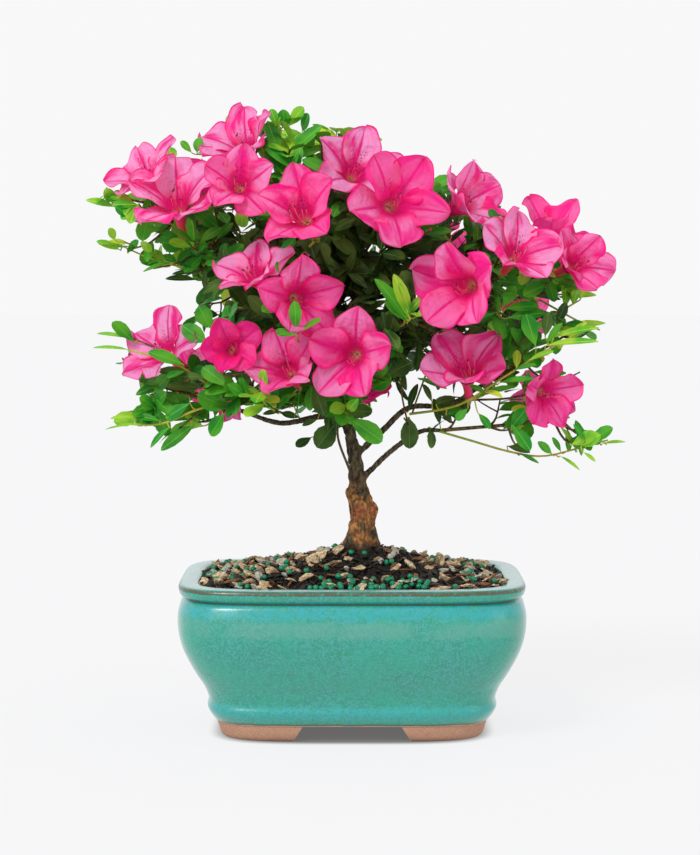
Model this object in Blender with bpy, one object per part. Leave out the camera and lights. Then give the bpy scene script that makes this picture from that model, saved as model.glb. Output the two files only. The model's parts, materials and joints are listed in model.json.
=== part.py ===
"""Azalea bonsai in bloom, in a glazed oblong pot on four bare clay feet.

Metres, +Z up. Heights are measured from a level just above the pot's feet, which is 87 mm under its
rim, and the pot's middle is at x = 0, y = 0. The last step moves everything, so that the feet stand on
z = 0 under the middle of the whole box. The viewer of the photograph looks along +Y. The trunk and each bough are single solids; each mass of foliage is one solid: a stem,
three-sided twigs, leaves and blooms, fused.
"""

import math
import random

import bmesh
import bpy
from mathutils import Matrix, Vector
from mathutils.bvhtree import BVHTree

MM = 0.001
GAP = 0.3 * MM
UP = Vector((0, 0, 1))
GOLDEN_ANGLE = math.pi * (3 - math.sqrt(5))
SHARP_ANGLE = math.radians(40)

# The pot: an oblong with soft corners, a rolled rim, a full belly, a waist and a base moulding.
POT_HALF_WIDTH = 102.5 * MM
POT_HALF_DEPTH = 74.5 * MM
FOOT_TOP = 5 * MM
CORNER_POWER = 5.0
PLAN_POINTS = 32
# Height and inset from the widest outline, in mm, up the outside and then down the inside.
POT_OUTSIDE = (
    (-4.7, 27.0), (-2.6, 24.6), (5.0, 21.6), (9.8, 18.2), (13.6, 16.8), (17.8, 17.6), (25.2, 15.0),
    (32.4, 10.7), (40.5, 6.3), (49.6, 2.4), (58.9, 0.3), (68.2, 0), (75.3, 1.7), (78.8, 3.7), (81.0, 1.2),
    (84.5, 0.5), (87, 2.1),
)
POT_INSIDE = ((87, 12.0), (83, 13.0), (60, 12.2), (40, 18.3), (17, 30.5))
FOOT_RECESS_INSET = 36 * MM
FOOT_GAP_HALF = (28.5 * MM, 15 * MM)
FOOT_GAP_FLARE = 9 * MM
FOOT_CUT_BELOW = -9.7 * MM

# The soil: filled to just under the rim and mounded up to the foot of the trunk.
SOIL_EDGE_HEIGHT = 83 * MM
SOIL_TOP_HEIGHT = 100.7 * MM
SOIL_TOP_RADIUS = 17 * MM
SOIL_RINGS = 4

# The trunk: height, x, y and radius in mm, from the flat cut at the soil to its tip in the crown.
TRUNK_LINE = (
    (101, 5.0, 0, 13.0), (107, 5.0, 0, 10.2), (114, 5.4, 0, 8.4), (122, 6.0, 0, 7.7), (129, 5.4, 0, 7.7),
    (135, 3.6, 0, 6.6), (141, 3.0, 0, 5.3), (150, 2.5, 0, 4.5), (162, 1.2, 0, 4.0), (172, -1.2, 1, 3.7),
    (182, -2.6, 2, 3.5), (200, 0, 3, 3.2), (225, 5, 4, 2.8), (250, 8, 4, 2.3), (272, 8, 4, 1.7),
)
TRUNK_SIDES = 12
FLARED_RINGS = 6
ROOT_LOBES = 5
ROOT_LOBE_DEPTH = 0.16
ROOT_LOBE_TURN = 0.6
ROOT_FLARE_HEIGHT = 16
# A bough ends at this share of the way out to its mass's edge. It has this many rings, and more for
# each point that it passes.
BOUGH_END = 0.86
BOUGH_RINGS = 3
# Burls: height in mm, bearing in degrees, how far each stands out in mm and its spread in mm.
BURLS = ((125, 5, 2.6, 4.0), (136, 175, 1.6, 3.2), (113, 235, 1.4, 5.0))

# Masses of foliage: name, centre and half size in mm, the height in mm at which the bough leaves the
# trunk, the bough's foot and tip radius in mm, and the points in mm that it passes.
MASSES = (
    ("upper_left", (-110, -4, 300), (46, 42, 44), 205, 2.6, 1.5, ((-52, 0, 262),)),
    ("top_left", (-60, 4, 328), (44, 42, 44), 243, 2.0, 1.3, ((-14, 2, 277),)),
    ("top", (-6, 6, 322), (40, 40, 40), 270, 1.6, 1.3, ()),
    ("top_right", (38, -8, 306), (38, 40, 38), 252, 1.8, 1.3, ()),
    ("upper_right", (106, 0, 284), (54, 44, 44), 216, 2.4, 1.4, ((46, 2, 238),)),
    ("right", (114, 2, 222), (50, 40, 34), 158, 2.1, 1.4, ((18, -1, 173), (34, -2, 187), (58, -2, 189))),
    ("lower_right", (104, -6, 178), (60, 38, 26), 141, 1.9, 1.3, ((22, -2, 160), (40, -3, 172.5))),
    ("middle_right", (60, -34, 250), (38, 38, 38), 224, 1.8, 1.3, ()),
    ("front", (-4, -44, 222), (38, 38, 38), 190, 1.8, 1.3, ()),
    ("middle_left", (-46, -32, 258), (42, 40, 38), 212, 1.9, 1.3, ()),
    ("lower_left", (-108, -2, 198), (54, 44, 34), 176, 2.3, 1.4, ((-16, -2, 182), (-42, -4, 178))),
    ("low_left_front", (-52, -30, 206), (38, 36, 30), 184, 1.6, 1.2, ()),
    ("back_left", (-72, 54, 262), (50, 42, 50), 198, 2.3, 1.4, ((-24, 22, 222),)),
    ("back", (4, 58, 292), (46, 38, 46), 232, 2.2, 1.4, ()),
    ("back_right", (72, 54, 248), (50, 42, 48), 194, 2.3, 1.4, ((28, 24, 216),)),
    ("low_back", (-8, 50, 212), (50, 38, 30), 187, 1.7, 1.3, ()),
)

# Blooms that the photograph shows: mass, throat centre in mm, the way it faces as an azimuth from
# the viewer (positive to the right) and an elevation, in degrees, and the width across in mm.
BLOOMS = (
    ("upper_left", (-124, -12, 326), -60, 35, 52),
    ("upper_left", (-106, -32, 308), -12, 38, 60),
    ("top_left", (-68, -6, 346), 10, 45, 54),
    ("top_left", (-66, -50, 317), 6, 8, 52),
    ("top", (-8, -20, 334), -10, 42, 54),
    ("middle_left", (-28, -64, 300), -22, 12, 58),
    ("top_right", (24, -50, 304), -8, 10, 62),
    ("upper_right", (74, -20, 311), 45, 30, 50),
    ("upper_right", (100, -42, 284), 28, 28, 56),
    ("upper_right", (119, 2, 300), 20, 60, 44),
    ("upper_right", (134, -22, 276), 50, 18, 52),
    ("middle_right", (66, -68, 258), -30, -8, 58),
    ("middle_left", (-62, -56, 268), -38, 18, 50),
    ("middle_left", (-32, -70, 254), 0, -6, 56),
    ("front", (2, -78, 220), 8, -2, 58),
    ("low_left_front", (-36, -62, 208), 16, -18, 52),
    ("low_left_front", (-74, -48, 222), -20, 2, 44),
    ("lower_left", (-116, -18, 228), -48, 34, 50),
    ("right", (70, -34, 212), 18, 62, 54),
    ("lower_right", (122, -30, 196), 40, -14, 48),
)
# Masses away from the viewer carry blooms by rule: name, how many and their width across in mm.
RULED_BLOOMS = (
    ("back_left", 3, 54), ("back", 3, 54), ("back_right", 3, 54), ("low_back", 1, 50), ("top", 1, 50),
    ("upper_left", 1, 50), ("upper_right", 1, 50), ("lower_left", 1, 48), ("right", 1, 48),
)
RULED_VIEWPOINT = 300 * MM
RULED_SPREAD = 80
RULED_STEP = 17
RULED_TRIES = 9
RULED_TILTS = (12, 38, 60)
RULED_REACH = 0.72

# A bloom opens from a five-sided tube to a rim with four points for each of its five lobes. The
# sizes are shares of half its width across, and of its tube's length up.
TUBE_SHARE = 0.36
LOBES = 5
POINTS_IN_LOBE = 4
FOOT_SHARE = 0.08
TUBE_OUTSIDE = (0.24, 0.82)
TUBE_INSIDE = (0.18, 0.95)
# The rim's points from notch to tip to notch: reach, rise, and turn within the lobe.
RIM = ((0.6, 1.12, 0), (0.94, 1.24, 0.22), (1, 1.16, 0.5), (0.94, 1.24, 0.78))

# Leaves: larger than life, because the solids hold far fewer than the plant does.
LEAF_LENGTH = 29 * MM
LEAF_WIDTH = 15 * MM
LEAF_THICKNESS = 1.1 * MM
LEAF_WIDEST = 0.58
LEAF_DROOP = 2 * MM
LEAF_LEAN = (40, 72)
LEAF_TO_LIGHT = 0.7
LEAF_SPACING = 3.0 * MM
# A leaf's box with room round it, and the free end of a leaf, for tests of what it would touch.
LEAF_WITH_ROOM = Matrix.Diagonal((1.12, 2.2, 1.06, 1))
LEAF_FREE_END = Matrix.Translation((0, 0, 0.25 * LEAF_LENGTH)) @ Matrix.Diagonal((1, 1.5, 0.75, 1))
LEAVES_AT_TIP = 8
LEAVES_AT_BLOOM = 2
BLOOM_LEAVES_START = 3 * MM
STEM_POINTS = 5
STEM_PAST_CENTRE = 0.45
TWIGS_IN_MASS = 5
FIRST_TWIG = 0.22
TWIG_RADIUS = 1.15 * MM
TWIG_TIP_SHARE = 0.75
TWIG_IN_BLOOM = 3 * MM
TWIG_BEND = 0.35
TWIG_SAG = 2.5 * MM
TWIG_JITTER = 0.25
TOO_FAR_BACK = 0.8
TIP_REACH = 0.55
LEAF_REACH = 1.1
SPACE_MARGIN = 0.02
SEED = 100


def superellipse(half_x, half_y, count, power=CORNER_POWER):
    """Points round an oblong whose sides bow and whose corners are soft."""
    outline = []
    for i in range(count):
        angle = 2 * math.pi * i / count
        c, s = math.cos(angle), math.sin(angle)
        x = math.copysign(abs(c) ** (2 / power), c) * half_x
        y = math.copysign(abs(s) ** (2 / power), s) * half_y
        outline.append((x, y))
    return outline


def polar(radius, height, turns):
    """The point at a radius and a height, a share of a whole turn round from +X."""
    return Vector((math.cos(2 * math.pi * turns) * radius, math.sin(2 * math.pi * turns) * radius, height))


def pot_ring(height, inset):
    plan = superellipse(POT_HALF_WIDTH - inset, POT_HALF_DEPTH - inset, PLAN_POINTS)
    return [Vector((x, y, height)) for x, y in plan]


def band(made, lower, upper):
    """Faces between two rings, where the upper may have a whole number of points for each lower one."""
    each = len(upper) // len(lower)
    for i, corner in enumerate(lower):
        beside = lower[(i + 1) % len(lower)]
        fan = [upper[(each * i + j) % len(upper)] for j in range(each + 1)]
        if each == 1:
            made.faces.new((corner, beside, fan[1], fan[0]))
            continue
        for near, far in zip(fan, fan[1:]):
            made.faces.new((corner, far, near))
        made.faces.new((corner, beside, fan[-1]))


def loft(rings):
    """A closed mesh whose skin runs from ring to ring, with a flat cap on the first and last."""
    made = bmesh.new()
    loops = [[made.verts.new(point) for point in ring] for ring in rings]
    for first, second in zip(loops, loops[1:]):
        band(made, *sorted((first, second), key=len))
    made.faces.new(loops[0][::-1])
    made.faces.new(loops[-1])
    bmesh.ops.recalc_face_normals(made, faces=made.faces)
    mesh = bpy.data.meshes.new("loft")
    made.to_mesh(mesh)
    made.free()
    return mesh


def material(name, colour, roughness, metallic=0.0):
    made = bpy.data.materials.new(name)
    made.use_nodes = True
    shader = made.node_tree.nodes["Principled BSDF"]
    shader.inputs["Base Color"].default_value = (*colour, 1)
    shader.inputs["Roughness"].default_value = roughness
    shader.inputs["Metallic"].default_value = metallic
    return made


def add(name, mesh, home, finish=None):
    made = bpy.data.objects.new(name, mesh)
    home.objects.link(made)
    if finish:
        mesh.materials.append(finish)
    return made


def add_round(name, mesh, home, finish):
    mesh.shade_smooth()
    mesh.set_sharp_from_angle(angle=SHARP_ANGLE)
    return add(name, mesh, home, finish)


def collection(name):
    made = bpy.data.collections.new(name)
    bpy.context.scene.collection.children.link(made)
    return made


def as_helper(obj):
    obj.hide_render = True
    obj.display_type = "WIRE"
    return obj


def boolean(obj, operation, other):
    cut = obj.modifiers.new(operation.title(), "BOOLEAN")
    cut.operation = operation
    cut.solver = "EXACT"
    if isinstance(other, bpy.types.Collection):
        cut.operand_type = "COLLECTION"
        cut.collection = other
    else:
        cut.object = other


def evaluated_mesh(obj):
    bpy.context.view_layer.update()
    graph = bpy.context.evaluated_depsgraph_get()
    return bpy.data.meshes.new_from_object(obj.evaluated_get(graph))


def make_pot(home, cutters, finish):
    rings = [pot_ring(z * MM, inset * MM) for z, inset in POT_OUTSIDE + POT_INSIDE]
    pot = add_round("pot", loft(rings), home, finish)
    recess = [pot_ring(z, FOOT_RECESS_INSET) for z in (FOOT_CUT_BELOW, FOOT_TOP)]
    boolean(pot, "DIFFERENCE", as_helper(add("foot_recess", loft(recess), cutters)))
    for axis, half in enumerate(FOOT_GAP_HALF):
        made = bmesh.new()
        bmesh.ops.create_cube(made, size=1)
        for vert in made.verts:
            top = vert.co.z > 0
            across = half if top else half + FOOT_GAP_FLARE
            vert.co[axis] = math.copysign(across, vert.co[axis])
            vert.co[1 - axis] *= 3 * POT_HALF_WIDTH
            vert.co.z = FOOT_TOP if top else FOOT_CUT_BELOW
        mesh = bpy.data.meshes.new("foot_gap")
        made.to_mesh(mesh)
        made.free()
        boolean(pot, "DIFFERENCE", as_helper(add(f"foot_gap_{axis}", mesh, cutters)))
    return pot


def make_soil(home, finish):
    """Fills the pot to near its rim, a clearance inside the wall, and rises to the trunk."""
    inside = [(z * MM, inset * MM) for z, inset in reversed(POT_INSIDE)]
    rings = [pot_ring(inside[0][0] + GAP, inside[0][1] + GAP)]
    rings += [pot_ring(z, inset + GAP) for z, inset in inside[1:-2]]
    edge = pot_ring(SOIL_EDGE_HEIGHT, inside[-2][1] + GAP)
    rings.append(edge)
    middle = trunk_point(SOIL_TOP_HEIGHT)
    for step in range(1, SOIL_RINGS + 1):
        share = step / SOIL_RINGS
        rise = math.sin(share * math.pi / 2) ** 1.5
        ring = []
        for point in edge:
            bearing = math.atan2(point.y, point.x)
            foot = Vector((math.cos(bearing), math.sin(bearing), 0)) * SOIL_TOP_RADIUS + middle
            place = point.lerp(foot, share)
            place.z = SOIL_EDGE_HEIGHT + (SOIL_TOP_HEIGHT - SOIL_EDGE_HEIGHT) * rise
            ring.append(place)
        rings.append(ring)
    return add_round("soil", loft(rings), home, finish)


def trunk_at(height):
    """Centre and radius of the trunk at a height, between the rows of TRUNK_LINE."""
    rows = [[value * MM for value in row] for row in TRUNK_LINE]
    for low, high in zip(rows, rows[1:]):
        if height <= high[0] or high is rows[-1]:
            share = max(0.0, min(1.0, (height - low[0]) / (high[0] - low[0])))
            mixed = [a + (b - a) * share for a, b in zip(low, high)]
            return Vector((mixed[1], mixed[2], height)), mixed[3]


def trunk_point(height):
    return trunk_at(height)[0]


def trunk_ring(height, extra=0.0):
    """One level section of the trunk, with root lobes near the soil and its burls."""
    centre, radius = trunk_at(height)
    flare = max(0.0, 1 - (height / MM - TRUNK_LINE[0][0]) / ROOT_FLARE_HEIGHT)
    ring = []
    for i in range(TRUNK_SIDES):
        bearing = 2 * math.pi * i / TRUNK_SIDES
        out = radius * (1 + ROOT_LOBE_DEPTH * flare * math.cos(ROOT_LOBES * bearing + ROOT_LOBE_TURN))
        for burl_height, burl_bearing, stand, spread in BURLS:
            turn = bearing - math.radians(burl_bearing)
            along = (height / MM - burl_height) / spread
            around = 2 * math.sin(turn / 2) * radius / MM / spread
            out += stand * MM * math.exp(-(along**2) - around**2)
        out += extra
        ring.append(centre + Vector((math.cos(bearing), math.sin(bearing), 0)) * out)
    return ring


def smooth_path(points, count):
    """Even steps along a curve through the given points, by the Catmull-Rom rule."""
    points = [Vector(p) for p in points]
    ends = [2 * points[0] - points[1], *points, 2 * points[-1] - points[-2]]
    path = []
    spans = len(points) - 1
    for step in range(count):
        place = step / (count - 1) * spans
        i = min(int(place), spans - 1)
        t = place - i
        a, b, c, d = ends[i : i + 4]
        bend = (2 * a - 5 * b + 4 * c - d) * t**2 + (3 * b - a - 3 * c + d) * t**3
        path.append(0.5 * (2 * b + (c - a) * t + bend))
    return path


def tapered(first, last, count):
    return [first + (last - first) * i / (count - 1) for i in range(count)]


def three_sided_profile(cutters):
    """The triangle that the twigs are drawn along, so that each costs few faces."""
    curve = bpy.data.curves.new("twig_section", "CURVE")
    curve.dimensions = "2D"
    spline = curve.splines.new("POLY")
    spline.points.add(2)
    for i, point in enumerate(spline.points):
        turn = 2 * math.pi * i / 3
        point.co = (math.cos(turn), math.sin(turn), 0, 1)
    spline.use_cyclic_u = True
    return as_helper(add("twig_section", curve, cutters))


def limb_mesh(path, radii, section=None):
    """A tapering limb along a path, six-sided, or with the section of the given curve."""
    curve = bpy.data.curves.new("limb", "CURVE")
    curve.dimensions = "3D"
    curve.use_fill_caps = True
    if section:
        curve.bevel_mode = "OBJECT"
        curve.bevel_object = section
    else:
        curve.bevel_depth = 1.0
        curve.bevel_resolution = 1
    spline = curve.splines.new("POLY")
    spline.points.add(len(path) - 1)
    for point, place, radius in zip(spline.points, path, radii):
        point.co = (*place, 1)
        point.radius = radius
    guide = add("limb_guide", curve, bpy.context.scene.collection)
    mesh = evaluated_mesh(guide)
    bpy.data.objects.remove(guide)
    bpy.data.curves.remove(curve)
    made = bmesh.new()
    made.from_mesh(mesh)
    bmesh.ops.remove_doubles(made, verts=made.verts, dist=1e-6)
    bmesh.ops.recalc_face_normals(made, faces=made.faces)
    made.to_mesh(mesh)
    made.free()
    return mesh


def reach(mass, point):
    """How far out a point lies in a mass: 0 at its centre and 1 on its edge."""
    centre, half = mass["centre"], mass["half"]
    return Vector([(p - c) / h for p, c, h in zip(point, centre, half)]).length


def in_own_space(mass, masses, points):
    for point in points:
        own = reach(mass, point)
        if own > LEAF_REACH:
            return False
        if any(reach(other, point) < own + SPACE_MARGIN for other in masses if other is not mass):
            return False
    return True


def read_masses():
    masses = []
    for name, centre, half, leaves_at, foot, tip, passes in MASSES:
        mass = {"name": name, "centre": Vector(centre) * MM, "half": Vector(half) * MM}
        start = trunk_point(leaves_at * MM)
        way = [start, *(Vector(p) * MM for p in passes)]
        toward = way[-1] - mass["centre"]
        edge = 1 / Vector([t / h for t, h in zip(toward, mass["half"])]).length
        way.append(mass["centre"] + toward * edge * BOUGH_END)
        mass["bough"] = smooth_path(way, BOUGH_RINGS * (1 + len(passes)))
        mass["radii"] = tapered(foot * MM, tip * MM, len(mass["bough"]))
        mass["tip_radius"] = tip * MM
        masses.append(mass)
    return masses


def make_trunk_and_boughs(home, cutters, masses, bark):
    """The trunk, and each bough with its foot cut to the trunk's round, a clearance away."""
    heights = [row[0] * MM for row in TRUNK_LINE]
    levels = sorted(heights + [(a + b) / 2 for a, b in zip(heights, heights[1:FLARED_RINGS])])
    trunk = add_round("trunk", loft([trunk_ring(z) for z in levels]), home, bark)
    levels[0] -= GAP
    sleeve = as_helper(add("trunk_sleeve", loft([trunk_ring(z, GAP) for z in levels]), cutters))
    boughs = []
    for mass in masses:
        mesh = limb_mesh(mass["bough"], mass["radii"])
        bough = add_round("bough_" + mass["name"], mesh, home, bark)
        boolean(bough, "DIFFERENCE", sleeve)
        boughs.append(bough)
    return [trunk, *boughs]


def leaf_mesh():
    """A leaf as a flattened sphere of eight faces, its base at the origin and its tip up +Z."""
    made = bmesh.new()
    bmesh.ops.create_uvsphere(made, u_segments=4, v_segments=2, radius=0.5)
    for vert in made.verts:
        end = abs(vert.co.z) > 0.4
        vert.co.x *= LEAF_WIDTH
        vert.co.y *= LEAF_THICKNESS
        if end and vert.co.z > 0:
            vert.co.y = -LEAF_DROOP
        vert.co.z = LEAF_LENGTH * ((vert.co.z + 0.5) if end else LEAF_WIDEST)
    mesh = bpy.data.meshes.new("leaf")
    made.to_mesh(mesh)
    made.free()
    return mesh


def bloom_mesh(width):
    """A funnel with five broad lobes, its foot at the origin, opening up +Z."""
    half, tube = width / 2, width * TUBE_SHARE
    tube_turns = [(i + 0.5) / LOBES for i in range(LOBES)]
    rim = [(out, rise, (i + along) / LOBES) for i in range(LOBES) for out, rise, along in RIM]
    shift = POINTS_IN_LOBE // 2
    rim = rim[shift:] + rim[:shift]
    rings = [
        [(FOOT_SHARE, 0, turn) for turn in tube_turns],
        [(*TUBE_OUTSIDE, turn) for turn in tube_turns],
        rim,
        [(*TUBE_INSIDE, turn) for turn in tube_turns],
    ]
    return loft([[polar(half * out, tube * rise, turn) for out, rise, turn in ring] for ring in rings])


def facing(azimuth, elevation):
    """A direction from the viewer's side: azimuth 0 looks at the viewer, along -Y."""
    a, e = math.radians(azimuth), math.radians(elevation)
    return Vector((math.sin(a) * math.cos(e), -math.cos(a) * math.cos(e), math.sin(e)))


def placement(base, along, normal, turn=0.0):
    """Puts a piece's +Z along a direction and its +Y as near a normal as it can be."""
    z = along.normalized()
    y = (normal - z * normal.dot(z)).normalized()
    x = y.cross(z)
    frame = Matrix((x, y, z)).transposed().to_4x4()
    return Matrix.Translation(base) @ frame @ Matrix.Rotation(turn, 4, "Z")


def tree_of(meshes):
    """A search tree of the faces of several meshes, already in place."""
    verts, faces = [], []
    for mesh in meshes:
        first = len(verts)
        verts.extend(v.co.copy() for v in mesh.vertices)
        faces.extend([first + i for i in p.vertices] for p in mesh.polygons)
    return BVHTree.FromPolygons(verts, faces)


def placed(mesh, matrix):
    made = mesh.copy()
    made.transform(matrix)
    return made


def point_along(path, share):
    """The point at a share of the way through a path's even steps."""
    place = share * (len(path) - 1)
    i = min(int(place), len(path) - 2)
    return path[i].lerp(path[i + 1], place - i)


def nearest_on(path, point):
    return min(range(len(path)), key=lambda i: (path[i] - point).length)


def sphere_directions(count):
    """Directions spread evenly over a ball."""
    spread = []
    for i in range(count):
        z = 1 - 2 * (i + 0.5) / count
        flat = math.sqrt(1 - z * z)
        spread.append(Vector((flat * math.cos(GOLDEN_ANGLE * i), flat * math.sin(GOLDEN_ANGLE * i), z)))
    return spread


def bloom_rows(masses):
    """Every bloom: its mass, width, and the places to try, throat and facing; the seen ones first."""
    named = {mass["name"]: mass for mass in masses}
    rows = [(named[m], w * MM, [(Vector(c) * MM, facing(a, e))]) for m, c, a, e, w in BLOOMS]
    for name, count, width in RULED_BLOOMS:
        mass = named[name]
        for i in range(count):
            places = []
            for step in range(RULED_TRIES):
                spread = RULED_SPREAD * (i - (count - 1) / 2) + RULED_STEP * step * (-1) ** step
                azimuth = 180 - math.degrees(math.atan2(mass["centre"].x, RULED_VIEWPOINT)) + spread
                out = facing(azimuth, RULED_TILTS[(i + step) % len(RULED_TILTS)])
                throat = mass["centre"] + Vector([o * h for o, h in zip(out, mass["half"])]) * RULED_REACH
                places.append((throat, out))
            rows.append((mass, width * MM, places))
    return rows


def twig_path(root, tip):
    """A twig leaves its stem low and then runs straight to its tip."""
    return [root, root.lerp(tip, TWIG_BEND) - UP * TWIG_SAG, tip]


def make_stems_and_blooms(masses, limbs, section):
    """Each mass's stem, which carries on from its bough, and its blooms on their own twigs."""
    for index, mass in enumerate(masses):
        bough = mass["bough"]
        along = (bough[-1] - bough[-2]).normalized()
        start = bough[-1] + along * GAP
        inner = mass["centre"] + (mass["centre"] - start) * STEM_PAST_CENTRE
        mass["stem"] = smooth_path([start, mass["centre"], inner], STEM_POINTS)
        mass["stem"][1] = start + along * (mass["stem"][1] - start).length
        radii = tapered(mass["tip_radius"], TWIG_RADIUS, STEM_POINTS)
        mass["solids"] = [limb_mesh(mass["stem"], radii, section)]
        mass["random"] = random.Random(SEED + index)
        mass["blooms"] = []
    for number, (mass, width, places) in enumerate(bloom_rows(masses)):
        turn = mass["random"].uniform(0, 2 * math.pi)
        obstacles = tree_of([*limbs, *others_of(mass, masses)])
        for throat, out in places:
            foot = throat - out * width * TUBE_SHARE
            root = mass["stem"][max(1, nearest_on(mass["stem"], foot))]
            path = twig_path(root, foot + out * TWIG_IN_BLOOM)
            twig = limb_mesh(path, [TWIG_RADIUS] * len(path), section)
            side = UP if abs(out.z) < 0.9 else Vector((0, 1, 0))
            bloom = placed(bloom_mesh(width), placement(foot, out, side, turn))
            if not obstacles.overlap(tree_of([twig, bloom])):
                mass["solids"] += [twig, bloom]
                mass["blooms"].append((path, [twig, bloom]))
                break
        else:
            print("no room for bloom", number, "in", mass["name"])
    for mass in masses:
        mass["bloom_tree"] = tree_of(mass["solids"][2::2] or mass["solids"])


def others_of(mass, masses):
    return [mesh for other in masses if other is not mass for mesh in other["solids"]]


def rosette(path, start, count, rng):
    """Placements of leaves from a twig's tip back along it, each turned on from the last."""
    along = (path[-1] - path[-2]).normalized()
    side = along.orthogonal().normalized()
    first = rng.uniform(0, 2 * math.pi)
    for i in range(count):
        turn = Matrix.Rotation(first + GOLDEN_ANGLE * i, 3, along)
        lean = math.radians(rng.uniform(*LEAF_LEAN))
        way = along * math.cos(lean) + (turn @ side) * math.sin(lean)
        normal = along + UP * LEAF_TO_LIGHT
        if normal.cross(way).length < 0.1:
            normal = side
        yield placement(path[-1] - along * (start + (i + 0.5) * LEAF_SPACING), way, normal)


def grow_leaves(mass, masses, limbs, section, leaf):
    """Twigs to points spread through the mass, each with leaves at its end, in the mass's own space."""
    rng = mass["random"]
    obstacles = tree_of([*limbs, *others_of(mass, masses)])
    stem = mass["stem"]
    back = (stem[0] - mass["centre"]).normalized()
    for path, holders in mass["blooms"]:
        for leaf_place in rosette(path, BLOOM_LEAVES_START, LEAVES_AT_BLOOM, rng):
            try_leaf(mass, masses, obstacles, leaf, leaf_place, holders)
    for i, way in enumerate(sphere_directions(TWIGS_IN_MASS)):
        jitter = Vector([rng.uniform(-TWIG_JITTER, TWIG_JITTER) for _ in range(3)])
        way = (way + jitter).normalized()
        tip = mass["centre"] + Vector([w * h for w, h in zip(way, mass["half"])]) * TIP_REACH
        if way.dot(back) > TOO_FAR_BACK or not in_own_space(mass, masses, [tip]):
            continue
        path = [point_along(stem, FIRST_TWIG + (1 - FIRST_TWIG) * (i + 0.5) / TWIGS_IN_MASS), tip]
        twig = limb_mesh(path, (TWIG_RADIUS, TWIG_RADIUS * TWIG_TIP_SHARE), section)
        tree = tree_of([twig])
        if obstacles.overlap(tree) or mass["bloom_tree"].overlap(tree):
            continue
        mass["solids"].append(twig)
        for leaf_place in rosette(path, 0, LEAVES_AT_TIP, rng):
            try_leaf(mass, masses, obstacles, leaf, leaf_place, [twig])


def try_leaf(mass, masses, obstacles, leaf, place, holders):
    """Keeps a leaf if it stays in the mass's own space and touches nothing but what holds it."""
    ends = [place @ Vector((0, 0, share * LEAF_LENGTH)) for share in (0.5, 1)]
    if not in_own_space(mass, masses, ends):
        return
    if obstacles.overlap(tree_of([placed(leaf, place @ LEAF_WITH_ROOM)])):
        return
    own = tree_of([mesh for mesh in mass["solids"] if mesh not in holders])
    if own.overlap(tree_of([placed(leaf, place @ LEAF_FREE_END)])):
        return
    mass["solids"].append(placed(leaf, place))
    mass["leaves"] = mass.get("leaves", 0) + 1


def keep_outer_body(mesh):
    """Drops loose scraps and sealed hollows: only the skin with the most faces stays."""
    made = bmesh.new()
    made.from_mesh(mesh)
    left, bodies = set(made.faces), []
    while left:
        body, border = [], [left.pop()]
        while border:
            face = border.pop()
            body.append(face)
            beside = {other for edge in face.edges for other in edge.link_faces} & left
            left -= beside
            border.extend(beside)
        bodies.append(body)
    bodies.sort(key=len)
    bmesh.ops.delete(made, geom=[face for body in bodies[:-1] for face in body], context="FACES")
    made.to_mesh(mesh)
    made.free()


def fuse(mass, home, finish):
    """One Boolean union joins the stem, twigs, leaves and blooms of a mass."""
    workshop = collection("fusing")
    stem, *rest = mass["solids"]
    for i, mesh in enumerate(rest):
        add(f"{mass['name']}_{i}", mesh, workshop)
    body = add("fused", stem, home)
    boolean(body, "UNION", workshop)
    mesh = evaluated_mesh(body)
    keep_outer_body(mesh)
    bpy.data.objects.remove(body)
    for obj in list(workshop.objects):
        bpy.data.objects.remove(obj)
    bpy.data.collections.remove(workshop)
    mesh.materials.clear()
    return add("mass_" + mass["name"], mesh, home, finish)


def centre_the_box(parts):
    """Moves every part by one offset, so that the origin is under the middle of the whole box, at the
    level of the feet."""
    bpy.context.view_layer.update()
    graph = bpy.context.evaluated_depsgraph_get()
    corners = []
    for part in parts:
        mesh = part.evaluated_get(graph).data
        corners += [v.co.copy() for v in mesh.vertices]
    low = [min(c[axis] for c in corners) for axis in (0, 1, 2)]
    high = [max(c[axis] for c in corners) for axis in (0, 1)]
    base = bpy.data.objects.new("base", None)
    bpy.context.scene.collection.objects.link(base)
    base.location = (-(low[0] + high[0]) / 2, -(low[1] + high[1]) / 2, -low[2])
    for part in bpy.data.objects:
        if part is not base:
            part.parent = base


def main():
    for obj in list(bpy.data.objects):
        bpy.data.objects.remove(obj)
    home, cutters = collection("azalea_bonsai"), collection("cutters")
    glaze = material("turquoise_glaze", (0.06, 0.42, 0.34), 0.2)
    earth = material("potting_soil", (0.03, 0.028, 0.022), 0.95)
    bark = material("azalea_bark", (0.13, 0.08, 0.045), 0.85)
    foliage = material("foliage_and_bloom", (0.25, 0.2, 0.1), 0.5)
    pot = make_pot(home, cutters, glaze)
    soil = make_soil(home, earth)
    masses = read_masses()
    limbs = make_trunk_and_boughs(home, cutters, masses, bark)
    limb_meshes = [evaluated_mesh(limb) for limb in limbs]
    section = three_sided_profile(cutters)
    leaf = leaf_mesh()
    make_stems_and_blooms(masses, limb_meshes, section)
    for mass in masses:
        grow_leaves(mass, masses, limb_meshes, section, leaf)
    parts = [pot, soil, *limbs, *(fuse(mass, home, foliage) for mass in masses)]
    centre_the_box(parts)
    print("leaves:", sum(mass["leaves"] for mass in masses))


main()
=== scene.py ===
# %% [markdown]
# # An azalea bonsai in bloom, in a glazed pot
# This lesson dresses a plain CAD model of a small flowering tree. The CAD gives the pot, the soil, the
# trunk, its boughs and one rough solid for each mass of foliage. Here each of them gets the shape and
# the finish of the real thing, and the crown grows on from the same boughs to fine twigs.

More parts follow.
